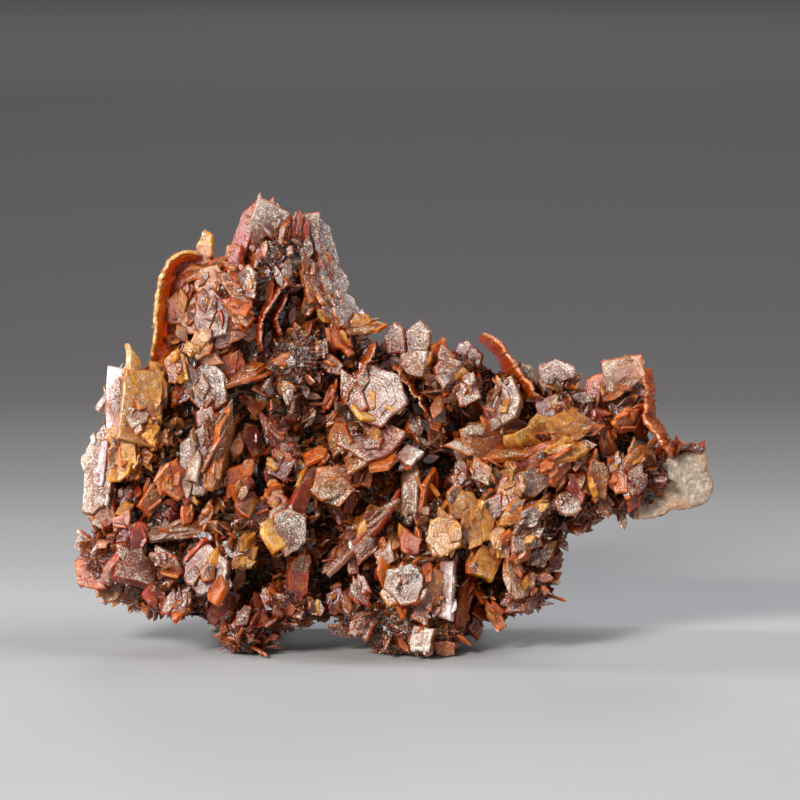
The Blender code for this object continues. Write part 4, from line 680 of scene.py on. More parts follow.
def ring_faces(rings, around):
    """Triangles of a skin through rings, closed by a point at each end, which come last."""
    here = np.arange(around)
    after = (here + 1) % around
    first, last = rings * around, rings * around + 1
    top = (rings - 1) * around
    faces = [np.stack([after, here, np.full(around, first)], axis=1)]
    for ring in range(rings - 1):
        low, high = ring * around, (ring + 1) * around
        faces.append(np.stack([low + here, low + after, high + after], axis=1))
        faces.append(np.stack([low + here, high + after, high + here], axis=1))
    faces.append(np.stack([top + here, top + after, np.full(around, last)], axis=1))
    return np.concatenate(faces)


class Growth:
    """Crystals gathered for one mesh: points, faces, and the tint, glow and frost of points."""

    def __init__(self):
        self.parts = [[] for _ in range(5)]
        self.count = 0

    def add(self, points, faces, tints, glows, frosts):
        """Adds crystals of one topology: points and tints (n, p, 3), glows and frosts (n, p)."""
        number, size = points.shape[:2]
        starts = self.count + np.arange(number)[:, None, None] * size
        tints = np.broadcast_to(tints, points.shape)
        glows, frosts = (np.broadcast_to(layer, (number, size)) for layer in (glows, frosts))
        for part, more in zip(self.parts, (points, faces[None] + starts, tints, glows, frosts)):
            part.append(more.reshape(-1, 3) if more.ndim == 3 else more.reshape(-1))
        self.count += number * size

    def joined(self):
        """Points, faces, tints, glows and frosts of all the crystals."""
        return [np.concatenate(part) for part in self.parts]

    def skin(self):
        """Points and faces of all the crystals."""
        return self.joined()[:2]

    def piece(self, name, material):
        """The crystals as one piece of the scene."""
        points, faces, *layers = self.joined()
        return make_piece(name, points, faces, material, *layers)


# Kind, field and width of each point attribute.
LAYERS = {
    "tint": ("FLOAT_COLOR", "color", 4), "glow": ("FLOAT", "value", 1),
    "frost": ("FLOAT", "value", 1),
}


def read_layer(mesh, name):
    """The values of a point attribute, one row for each point."""
    _, field, width = LAYERS[name]
    values = np.empty(len(mesh.vertices) * width, np.float32)
    mesh.attributes[name].data.foreach_get(field, values)
    return values.reshape(-1, width)


def write_layer(mesh, name, values):
    """Writes a point attribute, made on first use."""
    kind, field, _ = LAYERS[name]
    layer = mesh.attributes.get(name) or mesh.attributes.new(name, kind, "POINT")
    layer.data.foreach_set(field, np.asarray(values, np.float32).ravel())


def linked(name, data):
    """A new object of the scene for a mesh, light or camera."""
    made = bpy.data.objects.new(name, data)
    bpy.context.scene.collection.objects.link(made)
    return made


def make_piece(name, points, faces, material, tints, glows, frosts):
    """A mesh object on the root body, with nothing of it below the floor."""
    mesh = bpy.data.meshes.new(name)
    points = np.array(points, np.float32)
    points[:, 2] = np.maximum(points[:, 2], 0.0)
    mesh.vertices.add(len(points))
    mesh.vertices.foreach_set("co", points.ravel())
    mesh.loops.add(faces.size)
    mesh.loops.foreach_set("vertex_index", faces.astype(np.int32).ravel())
    mesh.polygons.add(len(faces))
    mesh.polygons.foreach_set("loop_start", np.arange(0, faces.size, 3, dtype=np.int32))
    mesh.update(calc_edges=True)
    write_layer(mesh, "tint", np.column_stack([tints, np.ones(len(tints))]))
    write_layer(mesh, "glow", np.broadcast_to(glows, len(points)))
    write_layer(mesh, "frost", np.broadcast_to(frosts, len(points)))
    mesh.shade_flat()
    mesh.materials.append(material)
    piece = linked(name, mesh)
    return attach(piece, "root")


def as_crystals(piece):
    """Hides the imported CAD solid of the crystals, which the pieces of crystals take the place
    of.
    """
    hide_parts("descloizite_crystals")


def triangles_of(mesh):
    """Points and triangles of a mesh as arrays."""
    mesh.calc_loop_triangles()
    points = np.empty(len(mesh.vertices) * 3, np.float32)
    mesh.vertices.foreach_get("co", points)
    faces = np.empty(len(mesh.loop_triangles) * 3, np.int32)
    mesh.loop_triangles.foreach_get("vertices", faces)
    return points.reshape(-1, 3).astype(float), faces.reshape(-1, 3)


def melted(points, faces, voxel, share=1.0):
    """Overlapping solids melted into one skin, with about the given share of its faces kept."""
    mesh = bpy.data.meshes.new("blank")
    mesh.from_pydata([tuple(p) for p in points], [], [tuple(int(i) for i in f) for f in faces])
    blank = linked("blank", mesh)
    skin = blank.modifiers.new("Skin", "REMESH")
    skin.mode = "VOXEL"
    skin.voxel_size = voxel * MM
    if share < 1.0:
        fewer = blank.modifiers.new("Fewer", "DECIMATE")
        fewer.ratio = share
    graph = bpy.context.evaluated_depsgraph_get()
    made = bpy.data.meshes.new_from_object(blank.evaluated_get(graph))
    result = triangles_of(made)
    bpy.data.objects.remove(blank)
    bpy.data.meshes.remove(mesh)
    bpy.data.meshes.remove(made)
    return result


def ball():
    """Points and faces of a unit ball of 320 triangles."""
    shape = bmesh.new()
    bmesh.ops.create_icosphere(shape, subdivisions=2, radius=1.0)
    points = np.array([v.co for v in shape.verts])
    faces = [tuple(v.index for v in f.verts) for f in shape.faces]
    shape.free()
    return points, faces


def crust_solids():
    """Points and faces of the crust's slab and mounds, still overlapping."""
    turned = np.array(CRUST_OUTLINE[::-1], float)
    size = len(turned)
    rings = [place(*(CRUST_CENTRE + (turned - CRUST_CENTRE) * share).T, out)
             for out, share in CRUST_RINGS]
    points = list(np.concatenate(rings))
    faces = [tuple(reversed(range(size)))]
    for level in range(len(rings) - 1):
        low, high = level * size, (level + 1) * size
        for i in range(size):
            j = (i + 1) % size
            faces.append((low + i, low + j, high + j, high + i))
    faces.append(tuple(range((len(rings) - 1) * size, len(rings) * size)))
    round_points, round_faces = ball()
    for mound in MOUNDS:
        start = len(points)
        points += list(place(*(np.array(mound[:3]) + round_points * mound[3:]).T))
        faces += [tuple(start + i for i in face) for face in round_faces]
    return points, faces


def prism(outline, depths):
    """Points and triangles of an upright slice of the leaning frame: outline clockwise."""
    turned = np.array(outline[::-1], float)
    size = len(turned)
    points = np.concatenate([place(*turned.T, out) for out in depths]
                            + [place(*turned.mean(0), out)[None] for out in depths])
    return points, ring_faces(2, size)


def bvh_of(points, faces):
    """A tree of triangles to cast rays at."""
    return BVHTree.FromPolygons(points.tolist(), faces.tolist())


def seat(tree, across, up, proud):
    """Where a crystal's middle goes: this proud of the crust, or of its front past the edge."""
    hit = tree.ray_cast(Vector(place(across, up, FAR_OUT)), Vector(-OUT))[0]
    surface = EDGE_SEAT if hit is None else leaning_spots(hit)[2]
    return place(across, up, surface + proud)


def over_crust(tree, spot):
    """Whether a place has the crust behind it, seen from the front."""
    return tree.ray_cast(Vector(spot) + Vector(OUT) * FAR_OUT * MM, Vector(-OUT))[0] is not None


def bites(tree, points):
    """Whether a corner lies well inside the crust."""
    for point in points:
        spot, normal, _, _ = tree.find_nearest(Vector(point))
        if (Vector(point) - spot).dot(normal) < -BITE * MM:
            return True
    return False


def rooted(tree, centre, turned, form, length, width, thickness):
    """The middle of a plate, drawn towards the crust until the plate bites into it."""
    outline = np.array(FORMS[form]) * (width, length)
    back = np.column_stack([outline, np.full(len(outline), -thickness / 2)])
    front = np.column_stack([outline * FRONT_SHARE, np.full(len(outline), thickness / 2)])
    corners = np.concatenate([back, front]) @ turned.T * MM
    for _ in range(MOST_DRAWS):
        if bites(tree, centre + corners):
            break
        spot = tree.find_nearest(Vector(centre))[0]
        centre = centre + unit(np.array(spot) - centre) * BITE * MM
    return centre


def sampled(corners, count):
    """Points along a closed outline, evenly spaced between its corners."""
    ends = np.roll(corners, -1, axis=0)
    spans = np.linalg.norm(ends - corners, axis=1)
    shares = np.maximum(1, np.round(spans / spans.sum() * count)).astype(int)
    shares[np.argmax(shares)] += count - shares.sum()
    sides = [start + (end - start) * (np.arange(k) / k)[:, None]
             for start, end, k in zip(corners, ends, shares)]
    return np.concatenate(sides)


def chipped(chance, outline):
    """The outline with one side broken off along a line."""
    away = chance.uniform(0, tau)
    direction = np.array((cos(away), sin(away)))
    along = outline @ direction
    over = np.maximum(along - along.max() * chance.uniform(*CHIP_REACH), 0)
    return outline - np.outer(over, direction) * chance.uniform(*CHIP_DEPTH)


def ragged_outline(chance, form, length, width, around):
    """The outline of a plate, anticlockwise in millimetres, with small steps broken into it."""
    corners = np.array(FORMS[form][::-1]) * (width, length)
    corners = corners * chance.uniform(*CORNER_SHIFT, corners.shape)
    outline = sampled(corners, around)
    depth = np.zeros(around)
    spot = 0
    while spot < around:
        run = int(chance.integers(*NOTCH_RUN))
        depth[spot:spot + run] = chance.uniform(0, RAG) if chance.random() < NOTCH_CHANCE else 0.0
        spot += run
    reach = np.linalg.norm(outline, axis=1)
    return chipped(chance, outline * (1 - depth / reach)[:, None])


def plate_rings(outline, thickness, steps, chance):
    """Points and glow of one plate in its own axes, ring by ring, ends last."""
    reach = np.linalg.norm(outline, axis=1).mean()
    rings, glows = [], []
    for inset, out, glow in RIM_PROFILE:
        share = 1 - min(inset, MOST_INSET * reach * inset / RIM_PROFILE[0][0]) / reach
        rings.append((outline * share, out * thickness))
        glows.append(glow)
    face, top = rings[-1]
    drift = np.clip(chance.normal(0, DRIFT, 2), -MOST_DRIFT, MOST_DRIFT) * reach
    rise = max(0.0, chance.normal(RISE, RISE_SPREAD))
    for share, step in steps:
        rings.append((face * share + drift * (1 - share), top + step * rise))
        glows.append(0.0)
    points = []
    for ring, out in rings:
        level = out + chance.normal(0, UNEVENNESS, len(ring))
        points.append(np.column_stack([ring, level]))
    back = (0.0, 0.0, -thickness * 0.5)
    front = (*drift, rings[-1][1])
    points = np.concatenate(points + [np.array([back, front])])
    around = np.arctan2(outline[:, 1], outline[:, 0])
    lit = 0.5 + 0.5 * np.cos(around - chance.uniform(0, tau))
    lit += chance.normal(0, LIT_SPREAD, len(outline))
    glows = np.outer(glows, np.clip(lit, LEAST_LIT, 1.0)).ravel()
    return points, np.concatenate([glows, END_GLOWS])


# The rim's tone, the share of frosting, how clear the whole crystal is and how much of the rim's
# colour its face takes, by tone of face.
RIMS = {
    "mauve": ("flame", 0.85, 0.0, 0.15), "pink": ("ember", 0.7, 0.0, 0.3),
    "pale": ("tan", 0.9, 0.0, 0.2), "tan": ("flame", 0.6, 0.0, 0.4),
    "amber": ("honey", 0.4, 0.1, 0.4), "yellow": ("honey", 0.45, 0.25, 0.5),
    "orange": ("flame", 0.12, 0.15, 0.6), "red": ("ember", -0.2, 0.1, 0.5),
    "plum": ("ember", 0.6, 0.0, 0.25), "umber": ("flame", 0.4, 0.0, 0.35),
    # The whitest tone paints glints onto the crystals that carry it.
    "white": ("pale", 0.5, 0.0, 0.0), "ash": ("plum", 0.8, 0.0, 0.1),
}

Tone = namedtuple("Tone", "face rim frost clear warmth")


def palette_of(context):
    """Every tone, with its face and rim colours as the panel holds them."""
    colours = context.scene.specimen_tones
    return {name: Tone(np.array(getattr(colours, name)), np.array(getattr(colours, rim)), *shares)
            for name, (rim, *shares) in RIMS.items()}


def blended(face, rim, glows):
    """Point colours from the face's and the rim's, by glow: (n, p, 3)."""
    share = np.clip(glows, 0, 1)[..., None]
    return face[..., None, :] * (1 - share) + rim[..., None, :] * share


def varied(chance, colours, spread):
    """Colours with the brightness and warmth of each shifted a little."""
    light = np.exp(chance.normal(0, spread, (len(colours), 1)))
    warmth = np.exp(chance.normal(0, spread * WARMTH_SHARE, (len(colours), 1)) * WARMING)
    return np.clip(colours * light * warmth, 0, BRIGHTEST)


class Specimen:
    """What the pieces share while they are made: crust, seats and the surfaces to grow on."""

    def __init__(self):
        self.points, self.faces = crust_solids()
        self.tree = bvh_of(*melted(self.points, self.faces, SEAT_VOXEL, SEAT_SHARE))
        self.grounds = []
        self.plates = []
        self.calm = set()

    def ground(self, points, faces, share):
        """Notes a surface that fine crystals grow on, and how densely."""
        self.grounds.append((points, faces, share))


def add_plate(growth, spot, outline, steps, palette, tone, chance):
    """Adds one plate, warmer and clearer towards one side: spot is its middle, turn, thickness."""
    centre, turned, thickness = spot
    points, glows = plate_rings(outline, thickness, steps, chance)
    away = chance.uniform(0, tau)
    side = points[:, :2] @ (cos(away), sin(away)) / np.abs(outline).max()
    warm = WARM_MIDDLE + WARM_SLOPE * side + chance.normal(0, WARM_SPREAD, len(side))
    warm = np.clip(warm, 0, 1)
    tone = palette[tone]
    warm *= tone.warmth
    face, rim = varied(chance, tone.face[None], PLATE_TINT_SPREAD)[0], tone.rim
    tints = face * (1 - warm[:, None]) + rim * warm[:, None]
    glows = np.maximum(glows, tone.clear)
    share = np.clip(glows, 0, 1)[:, None]
    tints = tints * (1 - share) + rim * share
    faces = ring_faces(len(RIM_PROFILE) + len(steps), len(outline))
    growth.add((centre + points @ turned.T * MM)[None], faces, tints[None], glows[None],
               tone.frost * (1 - warm[None]))


def add_plates(growth, shared, palette, chance, rows):
    """Adds big plates, and notes where each stands for the small ones that grow on it."""
    for across, up, proud, length, width, thickness, spin, turn, tip, form, tone in rows:
        turned = crystal_turns(spin, turn, tip)[0]
        thickness *= THINNED
        centre = seat(shared.tree, across, up, proud)
        centre = rooted(shared.tree, centre, turned, form, length, width, thickness)
        outline = ragged_outline(chance, form, length, width, PLATE_AROUND)
        spot = (centre, turned, thickness)
        add_plate(growth, spot, outline, STEP_PROFILE, palette, tone, chance)
        shared.plates.append((centre, turned, outline, thickness, tone))
        if form in CALM_FORMS:
            shared.calm.add(len(shared.plates) - 1)


def add_sisters(growth, shared, palette, chance, number):
    """Adds plates that grow beside and behind each big one, nearly parallel to it."""
    for i, (centre, turned, outline, thickness, tone) in enumerate(shared.plates):
        length, width = np.ptp(outline[:, 1]), np.ptp(outline[:, 0])
        for _ in range(number):
            away = chance.uniform(0, tau)
            on_face = chance.random() < ON_FACE_SHARE and i not in shared.calm
            reach, rise, sizes = ON_FACE if on_face else BESIDE
            slide = np.array((cos(away) * width, sin(away) * length)) * chance.uniform(*reach)
            lift = thickness * chance.uniform(*rise)
            turns = loose_turns(chance, *SISTER_TURNS)
            share = chance.uniform(*sizes)
            slim = share * chance.uniform(*SISTER_SLIM)
            form = chance.choice(list(SISTER_FORMS), p=list(SISTER_FORMS.values()))
            sister = ragged_outline(chance, form, length * share, width * slim, SISTER_AROUND)
            middle = centre + turned @ (*slide, lift) * MM
            if not over_crust(shared.tree, middle):
                continue
            faced = (turned @ turns)[0]
            spread = np.column_stack([sister, np.zeros(len(sister))]) @ faced.T * MM
            over = CAD_BOX[0][1] - (middle + spread)[:, 1].min()
            middle = middle + (0.0, max(0.0, over), 0.0)
            spot = middle, faced, thickness * chance.uniform(*SISTER_THIN)
            toned = tone if chance.random() < SAME_TONE else str(chance.choice(SISTER_TONES))
            add_plate(growth, spot, sister, [], palette, toned, chance)


def stood(points, turns, centres):
    """Crystals' own points (n, p, 3), turned and moved to their places."""
    return centres[:, None] + np.einsum("nij,npj->npi", turns, points) * MM


def lozenges(chance, centres, turns, lengths, widths, thicknesses):
    """Small bevelled lozenges: points (n, p, 3), glows (p), faces."""
    number, around = len(centres), len(LOZENGE_OUTLINE)
    outline = np.array(LOZENGE_OUTLINE[::-1])
    outline = outline * chance.uniform(*LOZENGE_SHIFT, (number, around, 1))
    outline = outline * np.stack([widths, lengths], axis=1)[:, None]
    points = []
    for share, out, _ in LOZENGE_PROFILE:
        level = np.broadcast_to((out * thicknesses)[:, None, None], (number, around, 1))
        points.append(np.concatenate([outline * share, level], axis=2))
    ends = np.zeros((number, 2, 3))
    ends[:, :, 2] = np.outer(thicknesses, [out for out, _ in LOZENGE_ENDS])
    points = np.concatenate(points + [ends], axis=1)
    glows = np.concatenate([np.repeat([glow for _, _, glow in LOZENGE_PROFILE], around),
                            [glow for _, glow in LOZENGE_ENDS]])
    return stood(points, turns, centres), glows, ring_faces(len(LOZENGE_PROFILE), around)


def add_daughters(growth, shared, palette, chance, density):
    """Adds small lozenges in near-parallel growth on the rims and faces of the big plates."""
    for centre, turned, outline, thickness, tone in shared.plates:
        spans = outline.max(0) - outline.min(0)
        number = int(DAUGHTERS_LEAST + density * spans[0] * spans[1])
        spots = outline[chance.integers(0, len(outline), number)]
        share = chance.choice(list(DAUGHTER_PLACES), number, p=list(DAUGHTER_PLACES.values()))
        on_rim = share > RIM_STARTS
        lift = np.where(on_rim, chance.uniform(*RIM_LIFT, number), FACE_LIFT) * thickness
        local = np.column_stack([spots * share[:, None], lift])
        lean = np.where(on_rim, RIM_LEAN, FACE_LEAN)
        turns = loose_turns(chance, DAUGHTER_SPIN, lean, lean, shape=number)
        lengths = chance.uniform(*DAUGHTER_LENGTHS, number) * spans.max()
        lengths = np.clip(lengths * np.where(on_rim, RIM_SIZE, 1.0), *DAUGHTER_LIMITS)
        widths = lengths * chance.uniform(*DAUGHTER_SLIM, number)
        thicknesses = widths * chance.uniform(*DAUGHTER_THIN, number)
        thicknesses = np.minimum(thicknesses, DAUGHTER_THICKEST)
        placed, glows, faces = lozenges(
            chance, centre + local @ turned.T * MM, turned @ turns, lengths, widths, thicknesses)
        tone = palette[tone]
        face = varied(chance, np.repeat(tone.face[None], number, 0), DAUGHTER_TINT_SPREAD)
        rim = np.repeat(tone.rim[None], number, 0)
        glows = np.clip(glows * chance.uniform(*DAUGHTER_GLOW, (number, 1)), 0, 1)
        growth.add(placed, faces, blended(face, rim, glows), glows, tone.frost)


def wall_points(thickness, back, front, lean, path, chance):
    """A thin plate seen edge on: its points and how pale each is, ring by ring along its path."""
    ends = np.array(path, float)
    spans = np.concatenate([[0], np.cumsum(np.linalg.norm(np.diff(ends, axis=0), axis=1))])
    steps = np.linspace(0, spans[-1], WALL_STEPS)
    line = np.column_stack([np.interp(steps, spans, ends[:, i]) for i in (0, 1)])
    for _ in range(WALL_SMOOTHING):
        line[1:-1] = (line[:-2] + 2 * line[1:-1] + line[2:]) / 4
    along = unit(np.gradient(line, axis=0))
    side = np.column_stack([along[:, 1], -along[:, 0]])
    wander = chance.normal(0, WALL_WANDER, WALL_STEPS // WALL_KNOT + 1)
    line += side * (np.repeat(wander, WALL_KNOT)[:WALL_STEPS, None])
    section = np.array(WALL_SECTION)
    if lean > 0:
        section = section[::-1] * (-1, 1, 1)
    rings = []
    rag = 0.0
    knots = np.arange(0, WALL_STEPS + WALL_KNOT, WALL_KNOT)
    swell = np.interp(np.arange(WALL_STEPS), knots, chance.uniform(*WALL_SWELL, len(knots)))
    for i, (spot, across) in enumerate(zip(line, side)):
        if chance.random() < WALL_RAG_CHANCE:
            rag = chance.uniform(0, WALL_RAG)
        fade = min(1.0, (i + 1) / 3, (WALL_STEPS - i) / 3)
        corner = min(1.0, (i + 1) / WALL_CORNER, (WALL_STEPS - i) / WALL_CORNER)
        half = thickness / 2 * (WALL_TAPER + (1 - WALL_TAPER) * fade) * swell[i]
        reach = front - rag - (1 - corner) ** 2 * (front - back) * WALL_ROUNDED
        offset = section[:, 0] * half + chance.normal(0, WALL_NOISE, len(section))
        depth = back + (reach - back) * section[:, 1]
        rings.append(place(*(spot + np.outer(offset, across)).T, depth))
    middle = [place(*line[0], (back + front) / 2), place(*line[-1], (back + front) / 2)]
    edges = np.concatenate([np.tile(section[:, 2], WALL_STEPS), [0.0, 0.0]])
    return np.concatenate(rings + [np.array(middle)]), edges


def add_walls(growth, _, palette, chance, rows):
    """Adds the thin curved plates, pale along the edge that looks out."""
    faces = ring_faces(WALL_STEPS, len(WALL_SECTION))
    for thickness, back, front, lean, tone, path in rows:
        points, edges = wall_points(thickness, back, front, lean, path, chance)
        side = palette[tone].face * WALL_FACE + palette[tone].rim * (1 - WALL_FACE)
        whitish = edges[None] * (THICK_EDGE if thickness > THICK_WALL else THIN_EDGE)
        tints = blended(side[None], palette["pale"].face[None], whitish)
        growth.add(points[None], faces, tints, WALL_GLOW * (1 - edges[None]), WALL_FROST)


def spread_over(points, faces, number, chance):
    """Random spots on triangles by area: the spots and the normals there."""
    corners = points[faces]
    normals = np.cross(corners[:, 1] - corners[:, 0], corners[:, 2] - corners[:, 0])
    areas = np.linalg.norm(normals, axis=1)
    picks = chance.choice(len(faces), number, p=areas / areas.sum())
    first, second = np.sqrt(chance.random((2, number)))
    shares = np.column_stack([1 - first, first * (1 - second), first * second])
    spots = np.einsum("nk,nkj->nj", shares, corners[picks])
    return spots, unit(normals[picks] + 1e-12)


def felt(spots, rows):
    """The strongest of the rows (across, up, radius, strength) at each place."""
    across, up, _ = leaning_spots(spots).T
    most = np.zeros(len(spots))
    for a, u, radius, strength in rows:
        gap = ((across - a) ** 2 + (up - u) ** 2) / radius ** 2
        most = np.maximum(most, strength * np.exp(-gap * gap))
    return most


def in_hollow(spots):
    """How deep in a dark hollow each place lies, from 0 to 1."""
    return felt(spots, [(*row[:3], 1.0) for row in HOLLOWS])


def near_druse(spots):
    """How near each place is to the middle of a patch of thick druse, from 0 to 1."""
    return felt(spots, [(*row, 1.0) for row in DRUSY])


def drusiness(spots, normals):
    """How thick the fine druse grows at each place, from its least share to 1."""
    flank = np.clip(FLANK_FACING - normals @ OUT, 0, FLANK_FACING) * FLANK_DRUSE
    thick = np.maximum(flank, near_druse(spots))
    return LEAST_DRUSE + (1 - LEAST_DRUSE) * thick


def patches(spots):
    """Soft noise at each place, that gathers the fine crystals of the faces in patches."""
    return np.array([noise.noise(Vector(spot) / (PATCH_SIZE * MM)) for spot in spots])


def zone_tints(palette, spots):
    """Colour of the fine crystals at each place, blended between the zones' middles."""
    across, up, _ = leaning_spots(spots).T
    middles = np.array([spot[:3] for spot in SPOTS])
    tints = np.array([palette[spot[3]].face for spot in SPOTS])
    gap = ((across[:, None] - middles[:, 0]) ** 2 + (up[:, None] - middles[:, 1]) ** 2)
    weight = np.exp(-gap / middles[:, 2] ** 2) + 1e-6 / (1 + gap)
    return weight @ tints / weight.sum(1, keepdims=True)


def uncovered(tree, spots, normals, reach):
    """Which spots have nothing standing over them within this reach, in millimetres."""
    clear = np.zeros(len(spots), bool)
    for i, (spot, normal) in enumerate(zip(spots + normals * CLEAR_START * MM, normals)):
        clear[i] = tree.ray_cast(Vector(spot), Vector(normal), reach * MM)[0] is None
    return clear


def openness(tree, spots, chance):
    """Share of the rays from each place to the front and its sides that meet nothing."""
    clear = np.zeros(len(spots))
    ways = unit(OUT + OPEN_SPREAD * chance.normal(size=(len(spots), OPEN_RAYS, 3)))
    for i, spot in enumerate(spots):
        start = Vector(spot + OUT * OPEN_START * MM)
        clear[i] = np.mean([tree.ray_cast(start, Vector(way), OPEN_REACH * MM)[0] is None
                            for way in ways[i]])
    return clear


def thinned(spots, spacing):
    """Indices of spots about this far apart, in millimetres: one for each cell of a grid."""
    cells = np.floor(spots / (spacing * MM)).astype(int)
    return np.sort(np.unique(cells, axis=0, return_index=True)[1])


def shading(tree, spots, chance):
    """Painted shade: how much of its colour a crystal keeps, less where others stand over it."""
    clear = openness(tree, spots, chance)[:, None]
    return DEEPEST_PAINTED_SHADE + (1 - DEEPEST_PAINTED_SHADE) * clear ** OPEN_POWER


def add_young(growth, shared, palette, chance, number):
    """Adds half-grown lozenges, some lying on one another and some standing in the gaps."""
    points, faces, _ = shared.grounds[0]
    spots, normals = spread_over(points, faces, number * TRIES, chance)
    ready = (normals @ OUT > YOUNG_FACING) & (in_hollow(spots) < YOUNG_HOLLOW)
    ready &= chance.random(len(spots)) > YOUNG_DRUSE * near_druse(spots)
    spots, normals = spots[ready], normals[ready]
    keep = chance.permutation(thinned(spots, YOUNG_SPACING))
    spots, normals = spots[keep], normals[keep]
    tree = bvh_of(*merged([ground[:2] for ground in shared.grounds[1:]]))
    bare = uncovered(tree, spots, np.tile(OUT, (len(spots), 1)), YOUNG_REACH)
    bare |= chance.random(len(spots)) < COVERED_SHARE
    bare &= openness(tree, spots, chance) > LEAST_OPEN
    spots, normals = spots[bare][:number], normals[bare][:number]
    number = len(spots)
    lying = chance.random(number) < LYING_SHARE
    ways = normals + OUT * YOUNG_OUT
    turns = np.where(lying[:, None, None], roughly_along(chance, ways, YOUNG_SPREAD, lying=True),
                     roughly_along(chance, ways, YOUNG_SPREAD))
    lengths = YOUNG_LENGTHS[0] + YOUNG_LENGTHS[1] * chance.beta(*YOUNG_BETA, number)
    lengths *= np.clip(FLANK_SIZE + normals @ OUT, FLANK_SIZE, 1.0)
    widths = lengths * chance.uniform(*YOUNG_SLIM, number)
    thicknesses = np.minimum(widths * chance.uniform(*YOUNG_THIN, number), YOUNG_THICKEST)
    lift = np.where(lying, chance.uniform(*LYING_LIFT, number), lengths * STANDING_LIFT)
    along = np.where(lying[:, None], normals, turns[:, :, 1])
    centres = spots + along * lift[:, None] * MM
    placed, glows, faces = lozenges(chance, centres, turns, lengths, widths, thicknesses)
    clear = chance.random((number, 1)) < CLEAR_SHARE
    zone = zone_tints(palette, spots)
    warm = palette["mauve"].rim * 0.5 + palette["tan"].rim * 0.5
    # Painted shade: faces, rims and frosting darken where other crystals stand over them.
    depth = shading(tree, centres, chance)
    face = np.where(clear, zone * CLEAR_TINT[0] + warm * CLEAR_TINT[1], zone)
    face = varied(chance, face, YOUNG_FACE_SPREAD) * depth
    rim = varied(chance, zone * RIM_TINT[0] + warm * RIM_TINT[1], YOUNG_RIM_SPREAD) * depth
    above = placed[:, :, 2].min(1) > 0
    glows = np.clip(glows * chance.uniform(*YOUNG_GLOW, (number, 1)), 0, 1)
    tints = blended(face, rim, glows)
    frosts = np.where(clear, CLEAR_FROST, chance.uniform(*YOUNG_FROST, (number, 1))) * depth
    growth.add(placed[above], faces, tints[above], glows[above], frosts[above])


def add_needles(growth, spots, turns, lengths, tints, rims, chance):
    """Adds fine eight-faced blades, each rooted at its spot."""
    number = len(spots)
    widths = lengths * chance.uniform(*NEEDLE_SLIM, number)
    thicknesses = lengths * chance.uniform(*NEEDLE_THIN, number)
    waist = chance.uniform(*NEEDLE_WAIST, number)
    points = np.zeros((number, 6, 3))
    points[:, 0, 1], points[:, 5, 1] = -0.5, 0.5
    points[:, 1, 0] = points[:, 2, 2] = 0.5
    points[:, 3, 0] = points[:, 4, 2] = -0.5
    points[:, 1:5, 1] = waist[:, None]
    points *= np.stack([widths, lengths, thicknesses], axis=1)[:, None]
    centres = spots + turns[:, :, 1] * (lengths * NEEDLE_ROOT * MM)[:, None]
    placed = stood(points, turns, centres)
    faces = np.array([(0, i + 1, (i + 1) % 4 + 1) for i in range(4)]
                     + [(5, (i + 1) % 4 + 1, i + 1) for i in range(4)])
    above = placed[:, :, 2].min(1) > 0
    colours = blended(tints, rims, np.tile(NEEDLE_GLOWS, (number, 1)))
    growth.add(placed[above], faces, colours[above], NEEDLE_GLOWS,
               chance.uniform(*NEEDLE_FROST, (above.sum(), 1)))


def add_druse(growth, shared, palette, chance, number):
    """Adds the finest crystals over the bed and over the faces of the plates."""
    tree = bvh_of(*merged([ground[:2] for ground in shared.grounds]))
    weights = np.array([ground[2] for ground in shared.grounds])
    for (points, faces, _), part in zip(shared.grounds, weights / weights.sum()):
        spots, normals = spread_over(points, faces, int(number * part * TRIES), chance)
        ready = normals @ OUT > DRUSE_FACING
        ready &= chance.random(len(spots)) > in_hollow(spots) * HOLLOW_LESS
        on_bed = points is shared.grounds[0][0]
        if on_bed:
            ready &= chance.random(len(spots)) < drusiness(spots, normals)
        else:
            ready &= patches(spots) > FACE_PATCH
        spots, normals = spots[ready], normals[ready]
        clear = uncovered(tree, spots, normals, NEEDLE_REACH)
        spots, normals = spots[clear][:int(number * part)], normals[clear][:int(number * part)]
        spread = BED_SPREAD if on_bed else FACE_SPREAD
        least, most = BED_DRUSE if on_bed else FACE_DRUSE
        lengths = least + (most - least) * chance.beta(*NEEDLE_BETA, len(spots))
        turns = roughly_along(chance, normals, spread)
        tints = varied(chance, zone_tints(palette, spots), DRUSE_TINT_SPREAD)
        # Painted shade: blades darken where other crystals stand over them.
        tints *= shading(tree, spots, chance)
        if not on_bed:
            pale = palette["pale"].face * chance.uniform(*PALE_LIGHT, (len(spots), 1))
            tints = tints * (1 - PALED) + pale * PALED
        # Painted glints: a few blades take the glint colour.
        glinting = chance.random(len(spots)) < PAINTED_GLINT_BLADES
        tints[glinting] = palette["white"].face * PAINTED_GLINT_LIGHT
        pale_tip = chance.random((len(spots), 1)) < PALE_TIPS
        tips = np.where(pale_tip, palette["pale"].face, palette["tan"].rim)
        rims = varied(chance, tints * 0.5 + tips * 0.5, DRUSE_TINT_SPREAD)
        add_needles(growth, spots, turns, lengths, tints, rims, chance)


def merged(skins):
    """Several skins as one list of points and one of triangles."""
    points, faces, start = [], [], 0
    for more_points, more_faces in skins:
        points.append(more_points)
        faces.append(more_faces + start)
        start += len(more_points)
    return np.concatenate(points), np.concatenate(faces)


def point_normals(points, faces):
    """Area-weighted normals of the points of a skin."""
    corners = points[faces]
    normals = np.cross(corners[:, 1] - corners[:, 0], corners[:, 2] - corners[:, 0])
    total = np.zeros_like(points)
    for i in range(3):
        np.add.at(total, faces[:, i], normals)
    return unit(total + 1e-15)


